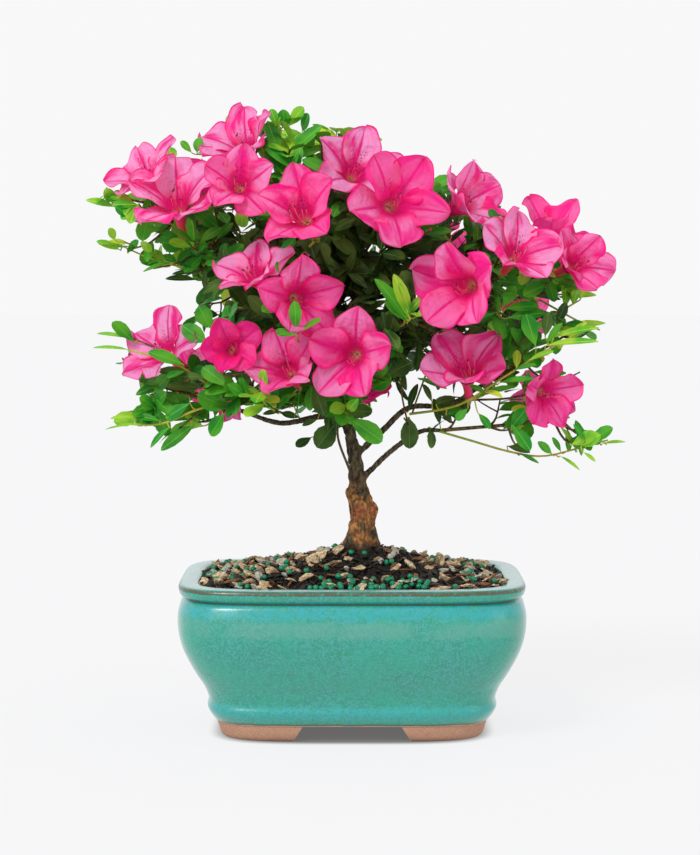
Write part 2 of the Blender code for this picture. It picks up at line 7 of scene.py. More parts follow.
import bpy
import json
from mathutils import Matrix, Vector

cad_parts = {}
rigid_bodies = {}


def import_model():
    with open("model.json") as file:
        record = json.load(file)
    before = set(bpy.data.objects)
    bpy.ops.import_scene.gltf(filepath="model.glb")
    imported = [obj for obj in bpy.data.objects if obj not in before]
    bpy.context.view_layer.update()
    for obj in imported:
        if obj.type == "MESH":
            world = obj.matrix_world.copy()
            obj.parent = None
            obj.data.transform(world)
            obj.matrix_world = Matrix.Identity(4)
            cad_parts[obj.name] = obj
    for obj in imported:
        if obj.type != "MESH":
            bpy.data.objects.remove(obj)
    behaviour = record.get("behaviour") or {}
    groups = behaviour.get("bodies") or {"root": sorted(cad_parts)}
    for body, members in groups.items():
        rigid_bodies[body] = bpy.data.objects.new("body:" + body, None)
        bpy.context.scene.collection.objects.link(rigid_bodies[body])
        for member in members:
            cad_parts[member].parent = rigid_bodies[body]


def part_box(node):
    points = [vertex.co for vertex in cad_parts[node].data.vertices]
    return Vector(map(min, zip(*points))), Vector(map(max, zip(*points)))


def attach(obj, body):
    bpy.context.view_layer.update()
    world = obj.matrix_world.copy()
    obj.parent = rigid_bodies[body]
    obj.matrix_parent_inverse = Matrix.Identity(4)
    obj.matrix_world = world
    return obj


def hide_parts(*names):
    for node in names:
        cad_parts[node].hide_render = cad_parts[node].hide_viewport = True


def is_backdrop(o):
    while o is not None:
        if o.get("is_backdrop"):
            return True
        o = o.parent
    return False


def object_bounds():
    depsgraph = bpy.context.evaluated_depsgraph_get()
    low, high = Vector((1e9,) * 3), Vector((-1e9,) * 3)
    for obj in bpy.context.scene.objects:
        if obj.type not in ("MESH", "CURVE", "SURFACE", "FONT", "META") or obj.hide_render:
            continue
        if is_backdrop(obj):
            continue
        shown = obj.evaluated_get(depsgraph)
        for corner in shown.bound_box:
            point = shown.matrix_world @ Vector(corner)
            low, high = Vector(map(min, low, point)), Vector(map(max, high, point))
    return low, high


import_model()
cad_low, cad_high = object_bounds()
print("CAD box, mm:", [round((b - a) * 1000, 1) for a, b in zip(cad_low, cad_high)])

# %% [markdown]
# ## Measures
# All sizes are written in millimetres, and most were measured on the photograph: across from the pot's
# middle, and up from a level 87 mm under its rim, which is just above the feet. `spot` turns them into
# Blender's metres. The pot's CAD box says where its middle is.

# %% Tools and measures
import json
import math
import random

import bmesh
import bpy
import numpy as np
from mathutils import Matrix, Vector

MM = 0.001
UP, BACK, RIGHT = Vector((0, 0, 1)), Vector((0, 1, 0)), Vector((1, 0, 0))
GOLDEN_ANGLE = math.pi * (3 - math.sqrt(5))
FEET_LEVEL = -4.7

pot_low, pot_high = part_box("pot")
HOME = Vector(((pot_low.x + pot_high.x) / 2, (pot_low.y + pot_high.y) / 2, pot_low.z - FEET_LEVEL * MM))


def spot(x, y, z):
    """A place given in millimetres from the pot's middle and the level that heights start from."""
    return HOME + Vector((x, y, z)) * MM


def paint(code):
    """A colour from its six hexadecimal digits on a screen, as a shader takes it."""
    parts = [int(code[i : i + 2], 16) / 255 for i in (0, 2, 4)]
    return (*[p / 12.92 if p <= 0.04045 else ((p + 0.055) / 1.055) ** 2.4 for p in parts], 1.0)


print("measures start at, mm:", [round(c * 1000, 2) for c in HOME])


# %% Paths
def smooth_path(points, count):
    """Even steps along a curve through the given points, by the Catmull-Rom rule."""
    points = [Vector(p) for p in points]
    ends = [2 * points[0] - points[1], *points, 2 * points[-1] - points[-2]]
    path = []
    spans = len(points) - 1
    for step in range(count):
        place = step / (count - 1) * spans
        i = min(int(place), spans - 1)
        t = place - i
        a, b, c, d = ends[i : i + 4]
        bend = (2 * a - 5 * b + 4 * c - d) * t**2 + (3 * b - a - 3 * c + d) * t**3
        path.append(0.5 * (2 * b + (c - a) * t + bend))
    return path


def point_along(path, share):
    place = share * (len(path) - 1)
    i = min(int(place), len(path) - 2)
    return path[i].lerp(path[i + 1], place - i)


def tapered(first, last, count):
    return [first + (last - first) * i / (count - 1) for i in range(count)]


def thick_line(path, foot, tip):
    """A path with a radius at each point, from the foot's to the tip's in mm."""
    return path, tapered(foot * MM, tip * MM, len(path))


print("paths ready")


# %% Directions and places
def facing(azimuth, elevation):
    """A direction from the viewer's side: azimuth 0 looks at the viewer, along -Y."""
    a, e = math.radians(azimuth), math.radians(elevation)
    return Vector((math.sin(a) * math.cos(e), -math.cos(a) * math.cos(e), math.sin(e)))


def not_along(way, first, spare):
    """The first direction, or the spare one where the way nearly follows the first."""
    return first if abs(way.dot(first)) < 0.9 else spare


def bearings(count):
    """Even turns round a circle."""
    return [2 * math.pi * k / count for k in range(count)]


def round_about(bearing, radius, height=0.0):
    """A place round +Z."""
    return Vector((math.cos(bearing) * radius, math.sin(bearing) * radius, height))


def any_way(rng, most=1.0):
    """A random vector, up to the given length along each axis."""
    return Vector([rng.uniform(-most, most) for _ in range(3)])


def stretched(vector, sizes):
    return Vector([part * size for part, size in zip(vector, sizes)])


def placement(base, along, normal, turn=0.0):
    """Puts a piece's +Z along a direction and its +Y as near a normal as it can be."""
    z = along.normalized()
    y = (normal - z * normal.dot(z)).normalized()
    x = y.cross(z)
    turned = Matrix((x, y, z)).transposed().to_4x4()
    return Matrix.Translation(base) @ turned @ Matrix.Rotation(turn, 4, "Z")


print("golden angle, degrees:", round(math.degrees(GOLDEN_ANGLE), 1))

# %% [markdown]
# ## Recipes of nodes
# Finishes and growing rules are both trees of nodes. One method adds any node, with its settings first
# and then what its sockets take. `Wire` lets a node's output stand in a sum, so that `height * 2 + 1`
# adds the Math nodes by itself, which reads better than a page of links.


# %% A wire that can be reckoned with
class Wire:
    """A node's output."""

    def __init__(self, recipe, socket):
        self.recipe, self.socket = recipe, socket

    def maths(self, operation, *values):
        sockets = dict(enumerate(values))
        return self.recipe.node("ShaderNodeMath", {"operation": operation}, sockets)

    def __add__(self, other):
        return self.maths("ADD", self, other)

    def __sub__(self, other):
        return self.maths("SUBTRACT", self, other)

    def __rsub__(self, other):
        return self.maths("SUBTRACT", other, self)

    def __mul__(self, other):
        return self.maths("MULTIPLY", self, other)

    def __truediv__(self, other):
        return self.maths("DIVIDE", self, other)

    def __rtruediv__(self, other):
        return self.maths("DIVIDE", other, self)

    __radd__ = __add__
    __rmul__ = __mul__

    def size(self):
        return self.maths("ABSOLUTE", self)

    def power(self, exponent):
        return self.maths("POWER", self.size(), exponent)

    def rise(self, low, high):
        """0 below low and 1 above high, with a smooth way between them. High may be below low."""
        settings = {"interpolation_type": "SMOOTHSTEP"}
        if high < low:
            return 1 - self.rise(high, low)
        return self.recipe.node("ShaderNodeMapRange", settings, {0: self, 1: low, 2: high})

    def between(self, low, high, soft):
        """1 between two values and 0 outside them."""
        return self.rise(low - soft, low + soft) * (1 - self.rise(high - soft, high + soft))


print("wires ready")


# %% A recipe that takes nodes
class Recipe:
    """A tree of nodes."""

    def __init__(self, tree):
        self.tree = tree

    def node(self, kind, settings=None, sockets=None, output=0):
        made = self.tree.nodes.new(kind)
        for key, value in (settings or {}).items():
            if key == "stops":
                self.set_stops(made.color_ramp, value)
            else:
                setattr(made, key, value)
        for key, value in (sockets or {}).items():
            if isinstance(value, Wire):
                self.tree.links.new(value.socket, made.inputs[key])
            else:
                made.inputs[key].default_value = value
        return Wire(self, made.outputs[output])

    def set_stops(self, ramp, stops):
        while len(ramp.elements) < len(stops):
            ramp.elements.new(0.5)
        for element, (place, colour) in zip(ramp.elements, stops):
            element.position, element.color = place, colour


print("recipes ready")

# %% [markdown]
# ## Finishes
# A finish is one Principled shader. What is the same all over is set on the shader's own socket; what
# changes over the surface comes from noise on the object's coordinates, in metres, or from an
# attribute that the piece carries.


# %% A finish, and what its patterns are made of
class Finish(Recipe):
    """A material with one Principled shader."""

    def __init__(self, name, fixed):
        self.material = bpy.data.materials.new(name)
        self.material.use_nodes = True
        super().__init__(self.material.node_tree)
        self.shader = self.tree.nodes["Principled BSDF"]
        for socket, value in fixed.items():
            self.shader.inputs[socket].default_value = value

    def where(self, stretch=(1, 1, 1)):
        """The place on the object, stretched as grain and streaks need it."""
        place = self.node("ShaderNodeTexCoord", output="Object")
        return self.node("ShaderNodeMapping", {}, {"Vector": place, "Scale": stretch})

    def coordinate(self, axis):
        """The place along one axis, in metres."""
        return self.node("ShaderNodeSeparateXYZ", {}, {0: self.where()}, axis)

    def height(self):
        """The height in mm, as it was measured."""
        return self.coordinate(2) / MM + FEET_LEVEL

    def carried(self, name):
        """A number that the mesh carries at each point."""
        return self.node("ShaderNodeAttribute", {"attribute_name": name}, {}, 2)

    def noise(self, patch, detail=2.0, rough=0.5, stretch=(1, 1, 1)):
        """Soft noise from 0 to 1, in patches of about the given size in mm."""
        sockets = {"Vector": self.where(stretch), "Scale": 1 / (patch * MM), "Detail": detail}
        return self.node("ShaderNodeTexNoise", {}, {**sockets, "Roughness": rough})

    def cells(self, size):
        """How far the nearest of many scattered points lies: 0 in the middle of a dot."""
        return self.node("ShaderNodeTexVoronoi", {}, {"Vector": self.where(), "Scale": 1 / (size * MM)})

    def mix(self, share, first, second):
        sockets = {"Factor": share, 6: first, 7: second}
        return self.node("ShaderNodeMix", {"data_type": "RGBA"}, sockets, 2)

    def coats(self, tone, *layers):
        """Paints laid over a tone one after another, each by its own mask."""
        for mask, code in layers:
            tone = self.mix(mask, tone, paint(code))
        return tone

    def mottle(self, share, low, high, first, second):
        """Goes from one paint to another as the share rises from low to high."""
        self.feed("Base Color", self.mix(share.rise(low, high), paint(first), paint(second)))

    def ramp(self, share, stops):
        return self.node("ShaderNodeValToRGB", {"stops": stops}, {"Fac": share})

    def feed(self, socket, wire):
        self.tree.links.new(wire.socket, self.shader.inputs[socket])

    def relief(self, height, depth):
        """Bumps of a depth in mm. The height runs from 0 to 1."""
        sockets = {"Height": height, "Distance": depth * MM, "Strength": 1.0}
        self.feed("Normal", self.node("ShaderNodeBump", {}, sockets))

    def let_through(self, colour, share):
        """Mixes in some light from behind, as a thin petal has it."""
        glow = self.node("ShaderNodeBsdfTranslucent", {}, {"Color": colour})
        sockets = {0: share, 1: Wire(self, self.shader.outputs[0]), 2: glow}
        mixed = self.node("ShaderNodeMixShader", {}, sockets)
        self.tree.links.new(mixed.socket, self.tree.nodes["Material Output"].inputs["Surface"])


print("finishes ready")

# %% [markdown]
# ## Growing rules
# What repeats or follows a line is made by Geometry Nodes. A rule is built once with named inputs. It
# is then grown on a mesh that holds only the lines or the points, and the result is kept as a plain
# mesh, because the exported model drops live copies.


# %% A rule of Geometry Nodes, and how it is grown
class Rule(Recipe):
    """A Geometry Nodes tree with named inputs."""

    def __init__(self, name, inputs):
        super().__init__(bpy.data.node_groups.new(name, "GeometryNodeTree"))
        face = self.tree.interface
        face.new_socket("Start", in_out="INPUT", socket_type="NodeSocketGeometry")
        face.new_socket("Grown", in_out="OUTPUT", socket_type="NodeSocketGeometry")
        self.keys = {}
        for label, kind in inputs.items():
            made = face.new_socket(label, in_out="INPUT", socket_type="NodeSocket" + kind)
            self.keys[label] = made.identifier
        self.entry = self.tree.nodes.new("NodeGroupInput")

    def given(self, label="Start"):
        return Wire(self, self.entry.outputs[label])

    def named(self, name, kind="FLOAT"):
        """What the mesh carries under a name, which may be an input."""
        return self.node("GeometryNodeInputNamedAttribute", {"data_type": kind}, {"Name": name})

    def copies(self, points, turn, size, sockets):
        """A copy of one of the given shapes on each point."""
        held = {"Collection": self.given("Shapes"), "Separate Children": True}
        shapes = self.node("GeometryNodeCollectionInfo", {}, held)
        placed = {"Points": points, "Instance": shapes, "Pick Instance": True, "Scale": size}
        placed["Rotation"] = self.node("FunctionNodeEulerToRotation", {}, {0: turn})
        return self.node("GeometryNodeInstanceOnPoints", {}, {**placed, **sockets})

    def end(self, shape, smooth=True):
        """Realizes the copies and gives them their finish."""
        real = self.node("GeometryNodeRealizeInstances", {}, {"Geometry": shape})
        real = self.node("GeometryNodeSetShadeSmooth", {}, {"Geometry": real, "Shade Smooth": smooth})
        finish = {"Geometry": real, "Material": self.given("Finish")}
        real = self.node("GeometryNodeSetMaterial", {}, finish)
        if "Rib finish" in self.keys:
            ribs = {"Geometry": real, "Selection": self.named("rib", "BOOLEAN")}
            ribs["Material"] = self.given("Rib finish")
            real = self.node("GeometryNodeSetMaterial", {}, ribs)
        exit_node = self.tree.nodes.new("NodeGroupOutput")
        self.tree.links.new(real.socket, exit_node.inputs[0])

    def grow(self, start, values):
        """Runs the rule on a mesh and returns the plain mesh that comes out."""
        holder = put("holder", start)
        step = holder.modifiers.new("rule", "NODES")
        step.node_group = self.tree
        for label, value in values.items():
            step[self.keys[label]] = value
        return plain_mesh(holder)


print("rules ready")


# %% Objects and meshes
def put(name, data):
    """A new object in the scene."""
    made = bpy.data.objects.new(name, data)
    bpy.context.scene.collection.objects.link(made)
    return made


def plain_mesh(holder):
    """The mesh that a holder's modifiers make of its own. The holder is then removed."""
    bpy.context.view_layer.update()
    graph = bpy.context.evaluated_depsgraph_get()
    mesh = bpy.data.meshes.new_from_object(holder.evaluated_get(graph))
    bpy.data.objects.remove(holder)
    return mesh


def mesh_of(name, verts, faces=(), edges=(), attributes=None):
    """A mesh from lists, with numbers that its points carry."""
    mesh = bpy.data.meshes.new(name)
    mesh.from_pydata([tuple(v) for v in verts], [tuple(e) for e in edges], [tuple(f) for f in faces])
    for key, values in (attributes or {}).items():
        values = np.asarray(values, dtype=np.float32)
        kind = "FLOAT" if values.ndim == 1 else "FLOAT_VECTOR"
        layer = mesh.attributes.new(key, kind, "POINT")
        layer.data.foreach_set("value" if kind == "FLOAT" else "vector", values.ravel())
    return mesh


def mesh_from(name, shape):
    """A mesh from a bmesh, which is then freed."""
    mesh = bpy.data.meshes.new(name)
    shape.to_mesh(mesh)
    shape.free()
    return mesh


print("meshes ready")


# %% Meshes put together, and finished pieces
def gather(name, meshes):
    """One mesh of several closed ones, with all faces pointing out."""
    shape = bmesh.new()
    for mesh in meshes:
        shape.from_mesh(mesh)
    bmesh.ops.recalc_face_normals(shape, faces=shape.faces)
    return mesh_from(name, shape)


def quads(rows, count, first=0, closed=True):
    """Faces between rows of points. Closed rows run round; open ones face the other way."""
    faces = []
    for row in range(rows - 1):
        for i in range(count if closed else count - 1):
            a, b = first + row * count + i, first + row * count + (i + 1) % count
            faces.append((a, b, b + count, a + count) if closed else (a, a + count, b + count, b))
    return faces


def show(name, mesh, finish=None, stands_for=()):
    """Puts a finished mesh in the scene, on the plant's one body."""
    made = put(name, mesh)
    if finish:
        mesh.materials.clear()
        mesh.materials.append(finish.material)
    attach(made, "root")
    if stands_for:
        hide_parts(*stands_for)
    mesh.calc_loop_triangles()
    print(f"{name}: {len(mesh.loop_triangles)} triangles")


print("pieces can be shown")

# %% [markdown]
# ## Camera
# The photograph looks at the plant from a little above the crown's middle. The rim's ellipse alone
# doesn't settle the distance, so 1.3 m was chosen. A fit to the rim then gave a tilt of 4.16 degrees and
# a lens of 92 mm.

# %% The photograph's camera
PHOTO_WIDE, PHOTO_HIGH = 700, 855
VIEW_DISTANCE = 1300
VIEW_ASIDE = -1.2
VIEW_HEIGHT = 269.6
VIEW_TILT = 4.16
LENS, SENSOR = 91.8, 36

eye = bpy.data.cameras.new("camera")
eye.lens = LENS
eye.sensor_width = SENSOR
eye.clip_end = 40
camera = put("camera", eye)
camera.location = spot(VIEW_ASIDE, -VIEW_DISTANCE, VIEW_HEIGHT)
camera.rotation_euler = (math.radians(90 - VIEW_TILT), 0, 0)
bpy.context.scene.camera = camera

VIEW_TURN = camera.rotation_euler.to_matrix()
# The sensor's width lies along the photograph's longer side.
PIXELS = PHOTO_HIGH / SENSOR * LENS


def seen(u, v, y):
    """The place that the photograph shows at a pixel, at a depth in mm behind the pot's middle."""
    way = VIEW_TURN @ Vector(((u - PHOTO_WIDE / 2) / PIXELS, (PHOTO_HIGH / 2 - v) / PIXELS, -1))
    return camera.location + way * (VIEW_DISTANCE + y) * MM / way.y


def pixel(point):
    """Where the photograph shows a place."""
    x, y, z = VIEW_TURN.transposed() @ (point - camera.location)
    return PHOTO_WIDE / 2 - x / z * PIXELS, PHOTO_HIGH / 2 + y / z * PIXELS


print("camera at", [round(c, 3) for c in camera.location])

# %% [markdown]
# ## Studio
# The photograph has a near-white ground, even light and hardly a shadow. A bright sky of one colour
# and a floor that glows, as a light table does, give that; the glow is dimmed under the pot, which
# paints the pot's shadow there. One broad sun shapes the leaves, and two weak lamps put soft highlights
# on the glaze.

# %% Floor and sky
FLOOR_GLOW = 0.8
FLOOR_RADIUS = 12
POT_SHADE_HALF = (0.08, 0.054)
SKY_COLOUR = (0.94, 0.94, 0.945, 1)

scene = bpy.context.scene
scene.view_settings.view_transform = "Standard"
scene.view_settings.look = "None"

floor_shine = {"Roughness": 0.9, "Specular IOR Level": 0.0, "Emission Strength": FLOOR_GLOW}
floor_finish = Finish("floor_paint", floor_shine)
floor_tone = floor_finish.mix(floor_finish.noise(60, 2), paint("5C5C5D"), paint("5E5E5F"))
floor_finish.feed("Base Color", floor_tone)
away_x, away_y = (
    (floor_finish.coordinate(axis) - HOME[axis]) / half for axis, half in enumerate(POT_SHADE_HALF)
)
# The floor glows less under and near the pot: this paints the pot's shadow on the floor.
clear_of_painted_shadow = (away_x.power(4.0) + away_y.power(4.0)).rise(0.6, 1.35)
floor_finish.feed("Emission Color", floor_finish.mix(clear_of_painted_shadow, (0.16, 0.16, 0.16, 1), (0.99, 0.99, 1.0, 1)))
disc = bmesh.new()
bmesh.ops.create_circle(disc, cap_ends=True, segments=96, radius=FLOOR_RADIUS)
floor = put("floor", mesh_from("floor", disc))
floor.data.materials.append(floor_finish.material)
floor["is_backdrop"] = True

scene.world = bpy.data.worlds.new("sky")
scene.world.use_nodes = True
glow = scene.world.node_tree.nodes["Background"].inputs
glow["Color"].default_value, glow["Strength"].default_value = SKY_COLOUR, 1.0
print("floor, m across:", 2 * FLOOR_RADIUS)

# %% Lamps
LAMPS = (
    # name, kind, place in mm, how wide in m or degrees, strength
    ("key", "SUN", (-700, -1000, 1300), 20, 1.45),
    ("window", "AREA", (-1000, -1500, 900), 1.0, 1.6),
    ("side", "AREA", (1500, -900, 500), 0.7, 1.2),
)
LAMPS_AIM_AT = spot(0, 0, 180)
for name, kind, place, width, strength in LAMPS:
    light = bpy.data.lights.new(name, kind)
    if kind == "SUN":
        light.angle = math.radians(width)
    else:
        light.size = width
    light.energy = strength
    lamp = put(name, light)
    lamp.location = spot(*place)
    lamp.rotation_euler = (LAMPS_AIM_AT - lamp.location).to_track_quat("-Z", "Y").to_euler()
print("lamps:", [row[0] for row in LAMPS])

# %% [markdown]
# ## The pot's shape
# The pot is an oblong with soft corners, pressed in a mould: its plan is a superellipse at every
# height, and only the distance in from the widest outline changes. A loft through rows of height and
# inset is the shortest way to say that. A revolved shape can't be oblong, and a subdivided box would
# lose the sharp groove under the rim.

# %% Plan and profile of the pot
POT_HALF_WIDTH = 102.5
POT_HALF_DEPTH = 74.5
CORNER_POWER = 5.0
PLAN_POINTS, FINE_POINTS = 240, 2400
BODY_PROFILE = (
    (5.0, 21.6), (9.8, 18.2), (13.6, 16.8), (17.8, 17.6), (25.2, 15.0), (32.4, 10.7), (40.5, 6.3),
    (49.6, 2.4), (58.9, 0.3), (68.2, 0), (75.3, 1.7), (77.6, 2.9),
)
RIM_PROFILE = (
    (78.3, 3.6), (78.9, 3.9), (79.6, 3.5), (80.3, 2.2), (81.0, 1.3), (82.6, 0.7), (84.5, 0.5), (85.7, 0.85),
    (86.4, 1.4), (86.8, 2.3), (87.0, 4.0), (87.1, 8), (86.9, 10.2), (86.3, 11.7), (85.2, 12.6), (83.5, 13),
    (78, 12.8), (60, 12.2), (40, 18.3), (17, 30.5),
)
BODY_RINGS = 66


def soft_corner(value):
    """A superellipse's coordinate, from a circle's."""
    return math.copysign(abs(value) ** (2 / CORNER_POWER), value)


def outline(inset, count=PLAN_POINTS):
    """Points round the pot at an inset, evenly spaced along the outline."""
    turns = [2 * math.pi * i / FINE_POINTS for i in range(FINE_POINTS + 1)]
    half_x, half_y = POT_HALF_WIDTH - inset, POT_HALF_DEPTH - inset
    xs = [soft_corner(math.cos(a)) * half_x for a in turns]
    ys = [soft_corner(math.sin(a)) * half_y for a in turns]
    way = np.concatenate(([0], np.cumsum(np.hypot(np.diff(xs), np.diff(ys)))))
    even = np.linspace(0, way[-1], count, endpoint=False)
    return list(zip(np.interp(even, way, xs), np.interp(even, way, ys)))


def loft(name, rings, attributes=None):
    """A closed skin from ring to ring, with a flat cap on the first and last."""
    count = len(rings[0])
    verts = [point for ring in rings for point in ring]
    caps = [range(count)[::-1], range(len(verts) - count, len(verts))]
    return mesh_of(name, verts, quads(len(rings), count) + caps, (), attributes)


def smooth(mesh, angle=50):
    mesh.shade_smooth()
    mesh.set_sharp_from_angle(angle=math.radians(angle))
    return mesh


profile = [(p.x, p.y) for p in smooth_path([(z, inset, 0) for z, inset in BODY_PROFILE], BODY_RINGS)]
profile += RIM_PROFILE
insets = [inset for _, inset in profile for _ in range(PLAN_POINTS)]
pot_mesh = smooth(
    loft("pot_body", [[spot(x, y, z) for x, y in outline(inset)] for z, inset in profile], {"inset": insets})
)
print("rings in the pot:", len(profile))

# %% [markdown]
# The pot stands on four feet, one under each corner, cut from one low wall by a wide gap in each side.
# They are bare clay: a foot can't be glazed, or it would stick to the kiln's shelf. Each foot is a
# loft between L-shaped plans, a little smaller at the floor.

# %% The four clay feet
FOOT_TOP = 5.0
GAP_HALF = (28.5, 15)
GAP_FLARE = 0.62
FOOT_WALL_INSET = 36
# Height, inset of the outer face, and how much smaller the plan is there on its other sides.
FOOT_RINGS = (
    (FEET_LEVEL, 27.0, 1.0), (-4.3, 25.8, 0.4), (-3.3, 24.7, 0.1), (-1.5, 23.9, 0), (FOOT_TOP, 22.0, 0),
    (FOOT_TOP + 2, 22.5, 0.4),
)
FOOT_POINTS = 26


def corner_arc(inset, gap_x, gap_y):
    """The outline's points in one corner, from the gap in the long side to that in the short one."""
    half_x, half_y = POT_HALF_WIDTH - inset, POT_HALF_DEPTH - inset
    start = math.acos((gap_x / half_x) ** (CORNER_POWER / 2))
    end = math.asin((gap_y / half_y) ** (CORNER_POWER / 2))
    arc = []
    for i in range(FOOT_POINTS):
        a = start + (end - start) * i / (FOOT_POINTS - 1)
        arc.append((soft_corner(math.cos(a)) * half_x, soft_corner(math.sin(a)) * half_y))
    return arc


feet = []
for side_x, side_y in ((-1, -1), (-1, 1), (1, -1), (1, 1)):
    rings = []
    for z, outer_inset, shrink in FOOT_RINGS:
        gaps = [half + GAP_FLARE * (FOOT_TOP - z) + shrink for half in GAP_HALF]
        plan = corner_arc(outer_inset, *gaps) + corner_arc(FOOT_WALL_INSET - shrink, *gaps)[::-1]
        rings.append([spot(side_x * x, side_y * y, z) for x, y in plan])
    feet.append(loft("foot", rings))
feet_mesh = smooth(gather("pot_feet", feet), 35)
print("foot height under the glaze, mm:", FOOT_TOP - FEET_LEVEL)

# %% [markdown]
# ## Glaze and clay
# The glaze is glassy and mottled: green with paler, bluer specks over the belly, bluer where it ran and
# pooled under the rim and on the base moulding, and brown where it broke on the rim's edge and left the
# clay. The rim's flat top gets a pale blue-white painted highlight. All of that goes by height and inset,
# with noise to stray by. Each tone is laid over the ones before it, as a potter lays glaze over glaze. A
# clear coat gives the sharp highlight.

# %% The glaze's finish
clay_light, clay_dark = paint("C0957C"), paint("A07660")
glaze = Finish("turquoise_glaze", {"Coat Roughness": 0.2, "IOR": 1.5})
z, inset = glaze.height(), glaze.carried("inset")
stray, specks, clouds = glaze.noise(9, 3), glaze.noise(1.3, 4, 0.75), glaze.noise(30, 4, 0.6)
runs = stray + glaze.noise(3, 3, 0.6, (1, 1, 0.5)) - 1
pool = (z + runs * 9).between(71, 78.5, 2) * 0.8 + (z + runs * 4).between(9.5, 17, 1.5) * 0.55
shoulder = (z + stray * 6 - 3).between(60, 69, 2) * glaze.noise(24, 3).rise(0.3, 0.6)
# The rim's flat top is painted pale blue-white: a painted highlight.
painted_rim_highlight = z.rise(86.2, 86.8) * inset.rise(1.8, 3.0)
rim_edge = (z + stray * 0.8 - 0.4).between(84.2, 86.3, 0.25) * inset.rise(4, 3)
broken = rim_edge * glaze.noise(2.2, 4, 0.75).rise(0.3, 0.5)
groove = z.between(78.3, 79.6, 0.3) * inset.rise(3.2, 3.6)
foot_line = (z + stray * 1.2).between(6.0, 7.2, 0.3)
bare = (z + stray * 1.2).rise(6.3, 5.7)
body = glaze.coats(
    glaze.mix(specks.rise(0.45, 0.56), paint("008B6E"), paint("3A9A96")),
    (clouds.rise(0.4, 0.62) * 0.5, "0A9C80"),
    (glaze.noise(3.2, 4, 0.7).rise(0.5, 0.66) * 0.5, "167C68"),
    (pool * glaze.noise(2.4, 4, 0.6).rise(0.3, 0.6), "0C9CA4"),
    (shoulder * 0.5, "5C9C8C"),
    (painted_rim_highlight * (0.55 + clouds * 0.4), "93B4B6"),
    (broken * 0.95, "463C22"),
    (groove * 0.75, "3F3A22"),
    (foot_line * 0.8, "4E4630"),
)
glaze.feed("Base Color", glaze.mix(bare, body, clay_light))
glaze.feed("Roughness", 0.2 + specks * 0.12 + bare * 0.45 + broken * 0.2)
glaze.feed("Coat Weight", (1 - bare) * 0.6)
glaze.relief(glaze.noise(14, 2) * 0.8 + specks * 0.06 + bare * specks * 0.3, 0.7)
show("pot_body", pot_mesh, glaze, ("pot",))

# %% [markdown]
# The bare clay is dull and warm, with fine grog in it and a few darker smears from the kiln.

# %% The bare clay's finish
clay = Finish("bare_clay", {"Roughness": 0.8, "Specular IOR Level": 0.3})
grog, smear = clay.noise(0.8, 4, 0.7), clay.noise(7, 3, 0.6, (1, 1, 2.5))
tone = clay.mix(grog.rise(0.3, 0.75), clay_dark, clay_light)
clay.feed("Base Color", clay.coats(tone, (smear.rise(0.55, 0.75) * 0.35, "8E6A55")))
clay.feed("Roughness", 0.7 + grog * 0.2)
clay.relief(grog * 0.6 + smear * 0.4, 0.35)
show("pot_feet", feet_mesh, clay)

# %% [markdown]
# ## Soil
# The soil is a dark, damp bark mix that is filled to just below the rim and mounded up to the foot of
# the trunk. The ground itself is only a bumpy sheet. What one sees is what lies on it, and Geometry
# Nodes scatter that: black crumbs, bark chips, pale pumice, grey stones and green fertiliser pellets.

# %% The mounded ground
SOIL_INSET = 13.2
SOIL_EDGE = 84.6
SOIL_TOP = 101.6
SOIL_TOP_RADIUS = 12
TRUNK_FOOT = (5, 0)
GROUND_RINGS, GROUND_POINTS = 44, 200
# Where the feed lies thick along the front rim, and how much of it lies elsewhere.
FEED_FROM, FEED_TO, FEED_BEFORE = -24, 46, -25
FEED_ELSEWHERE = 0.12


def lumps(x, y, patch, seed=0.0):
    """Smooth pseudo-random lumps from -1 to 1, from a few crossed waves."""
    total = 0.0
    for k in range(1, 5):
        across = x * math.cos(k * 2.4) + y * math.sin(k * 2.4)
        total += math.sin(across * (1 + 0.37 * k) / patch * 2 + seed * k)
    return total / 4


def ground_height(share, x, y):
    rise = 0.55 * share**2.2 + 0.45 * math.sin(share * math.pi / 2) ** 1.4
    bumps = 0.7 * lumps(x, y, 13) + 0.45 * lumps(x, y, 5, 1.7)
    return SOIL_EDGE + (SOIL_TOP - SOIL_EDGE) * rise + bumps * min(1, share * 9)


edge_plan = outline(SOIL_INSET, GROUND_POINTS)
ground_verts, front = [], []
for ring in range(GROUND_RINGS):
    share = ring / (GROUND_RINGS - 1)
    for x, y in edge_plan:
        bearing = math.atan2(y, x)
        foot_x = TRUNK_FOOT[0] + math.cos(bearing) * SOIL_TOP_RADIUS
        foot_y = TRUNK_FOOT[1] + math.sin(bearing) * SOIL_TOP_RADIUS
        px, py = x + (foot_x - x) * share, y + (foot_y - y) * share
        ground_verts.append(spot(px, py, ground_height(share, px, py)))
        thick = 1 if py < FEED_BEFORE and FEED_FROM < px < FEED_TO else FEED_ELSEWHERE
        front.append(0.07 + 0.93 * min(1.0, max(0.0, 1.3 - share * 3.2)) * thick)
top = len(ground_verts)
ground_verts.append(spot(*TRUNK_FOOT, SOIL_TOP))
front.append(0)
last_ring = [*range(top - GROUND_POINTS, top), top - GROUND_POINTS]
faces = quads(GROUND_RINGS, GROUND_POINTS) + [(a, b, top) for a, b in zip(last_ring, last_ring[1:])]
ground_mesh = mesh_of("soil_ground", ground_verts, faces, (), {"front": front, "all_over": [1] * len(front)})
ground_mesh.shade_smooth()

humus = Finish("damp_humus", {"Specular IOR Level": 0.35})
grit = humus.noise(1.4, 4, 0.7)
humus.mottle(grit, 0.4, 0.75, "15130F", "3A3128")
humus.feed("Roughness", 0.75 + grit * 0.2)
humus.relief(grit, 1.2)
show("soil_ground", ground_mesh, humus, ("soil",))

# %% [markdown]
# Each kind of crumb is made a few times as a small lump with its own dents, and the scattering rule
# deals them out with a random turn and size, never nearer to each other than a set spacing.


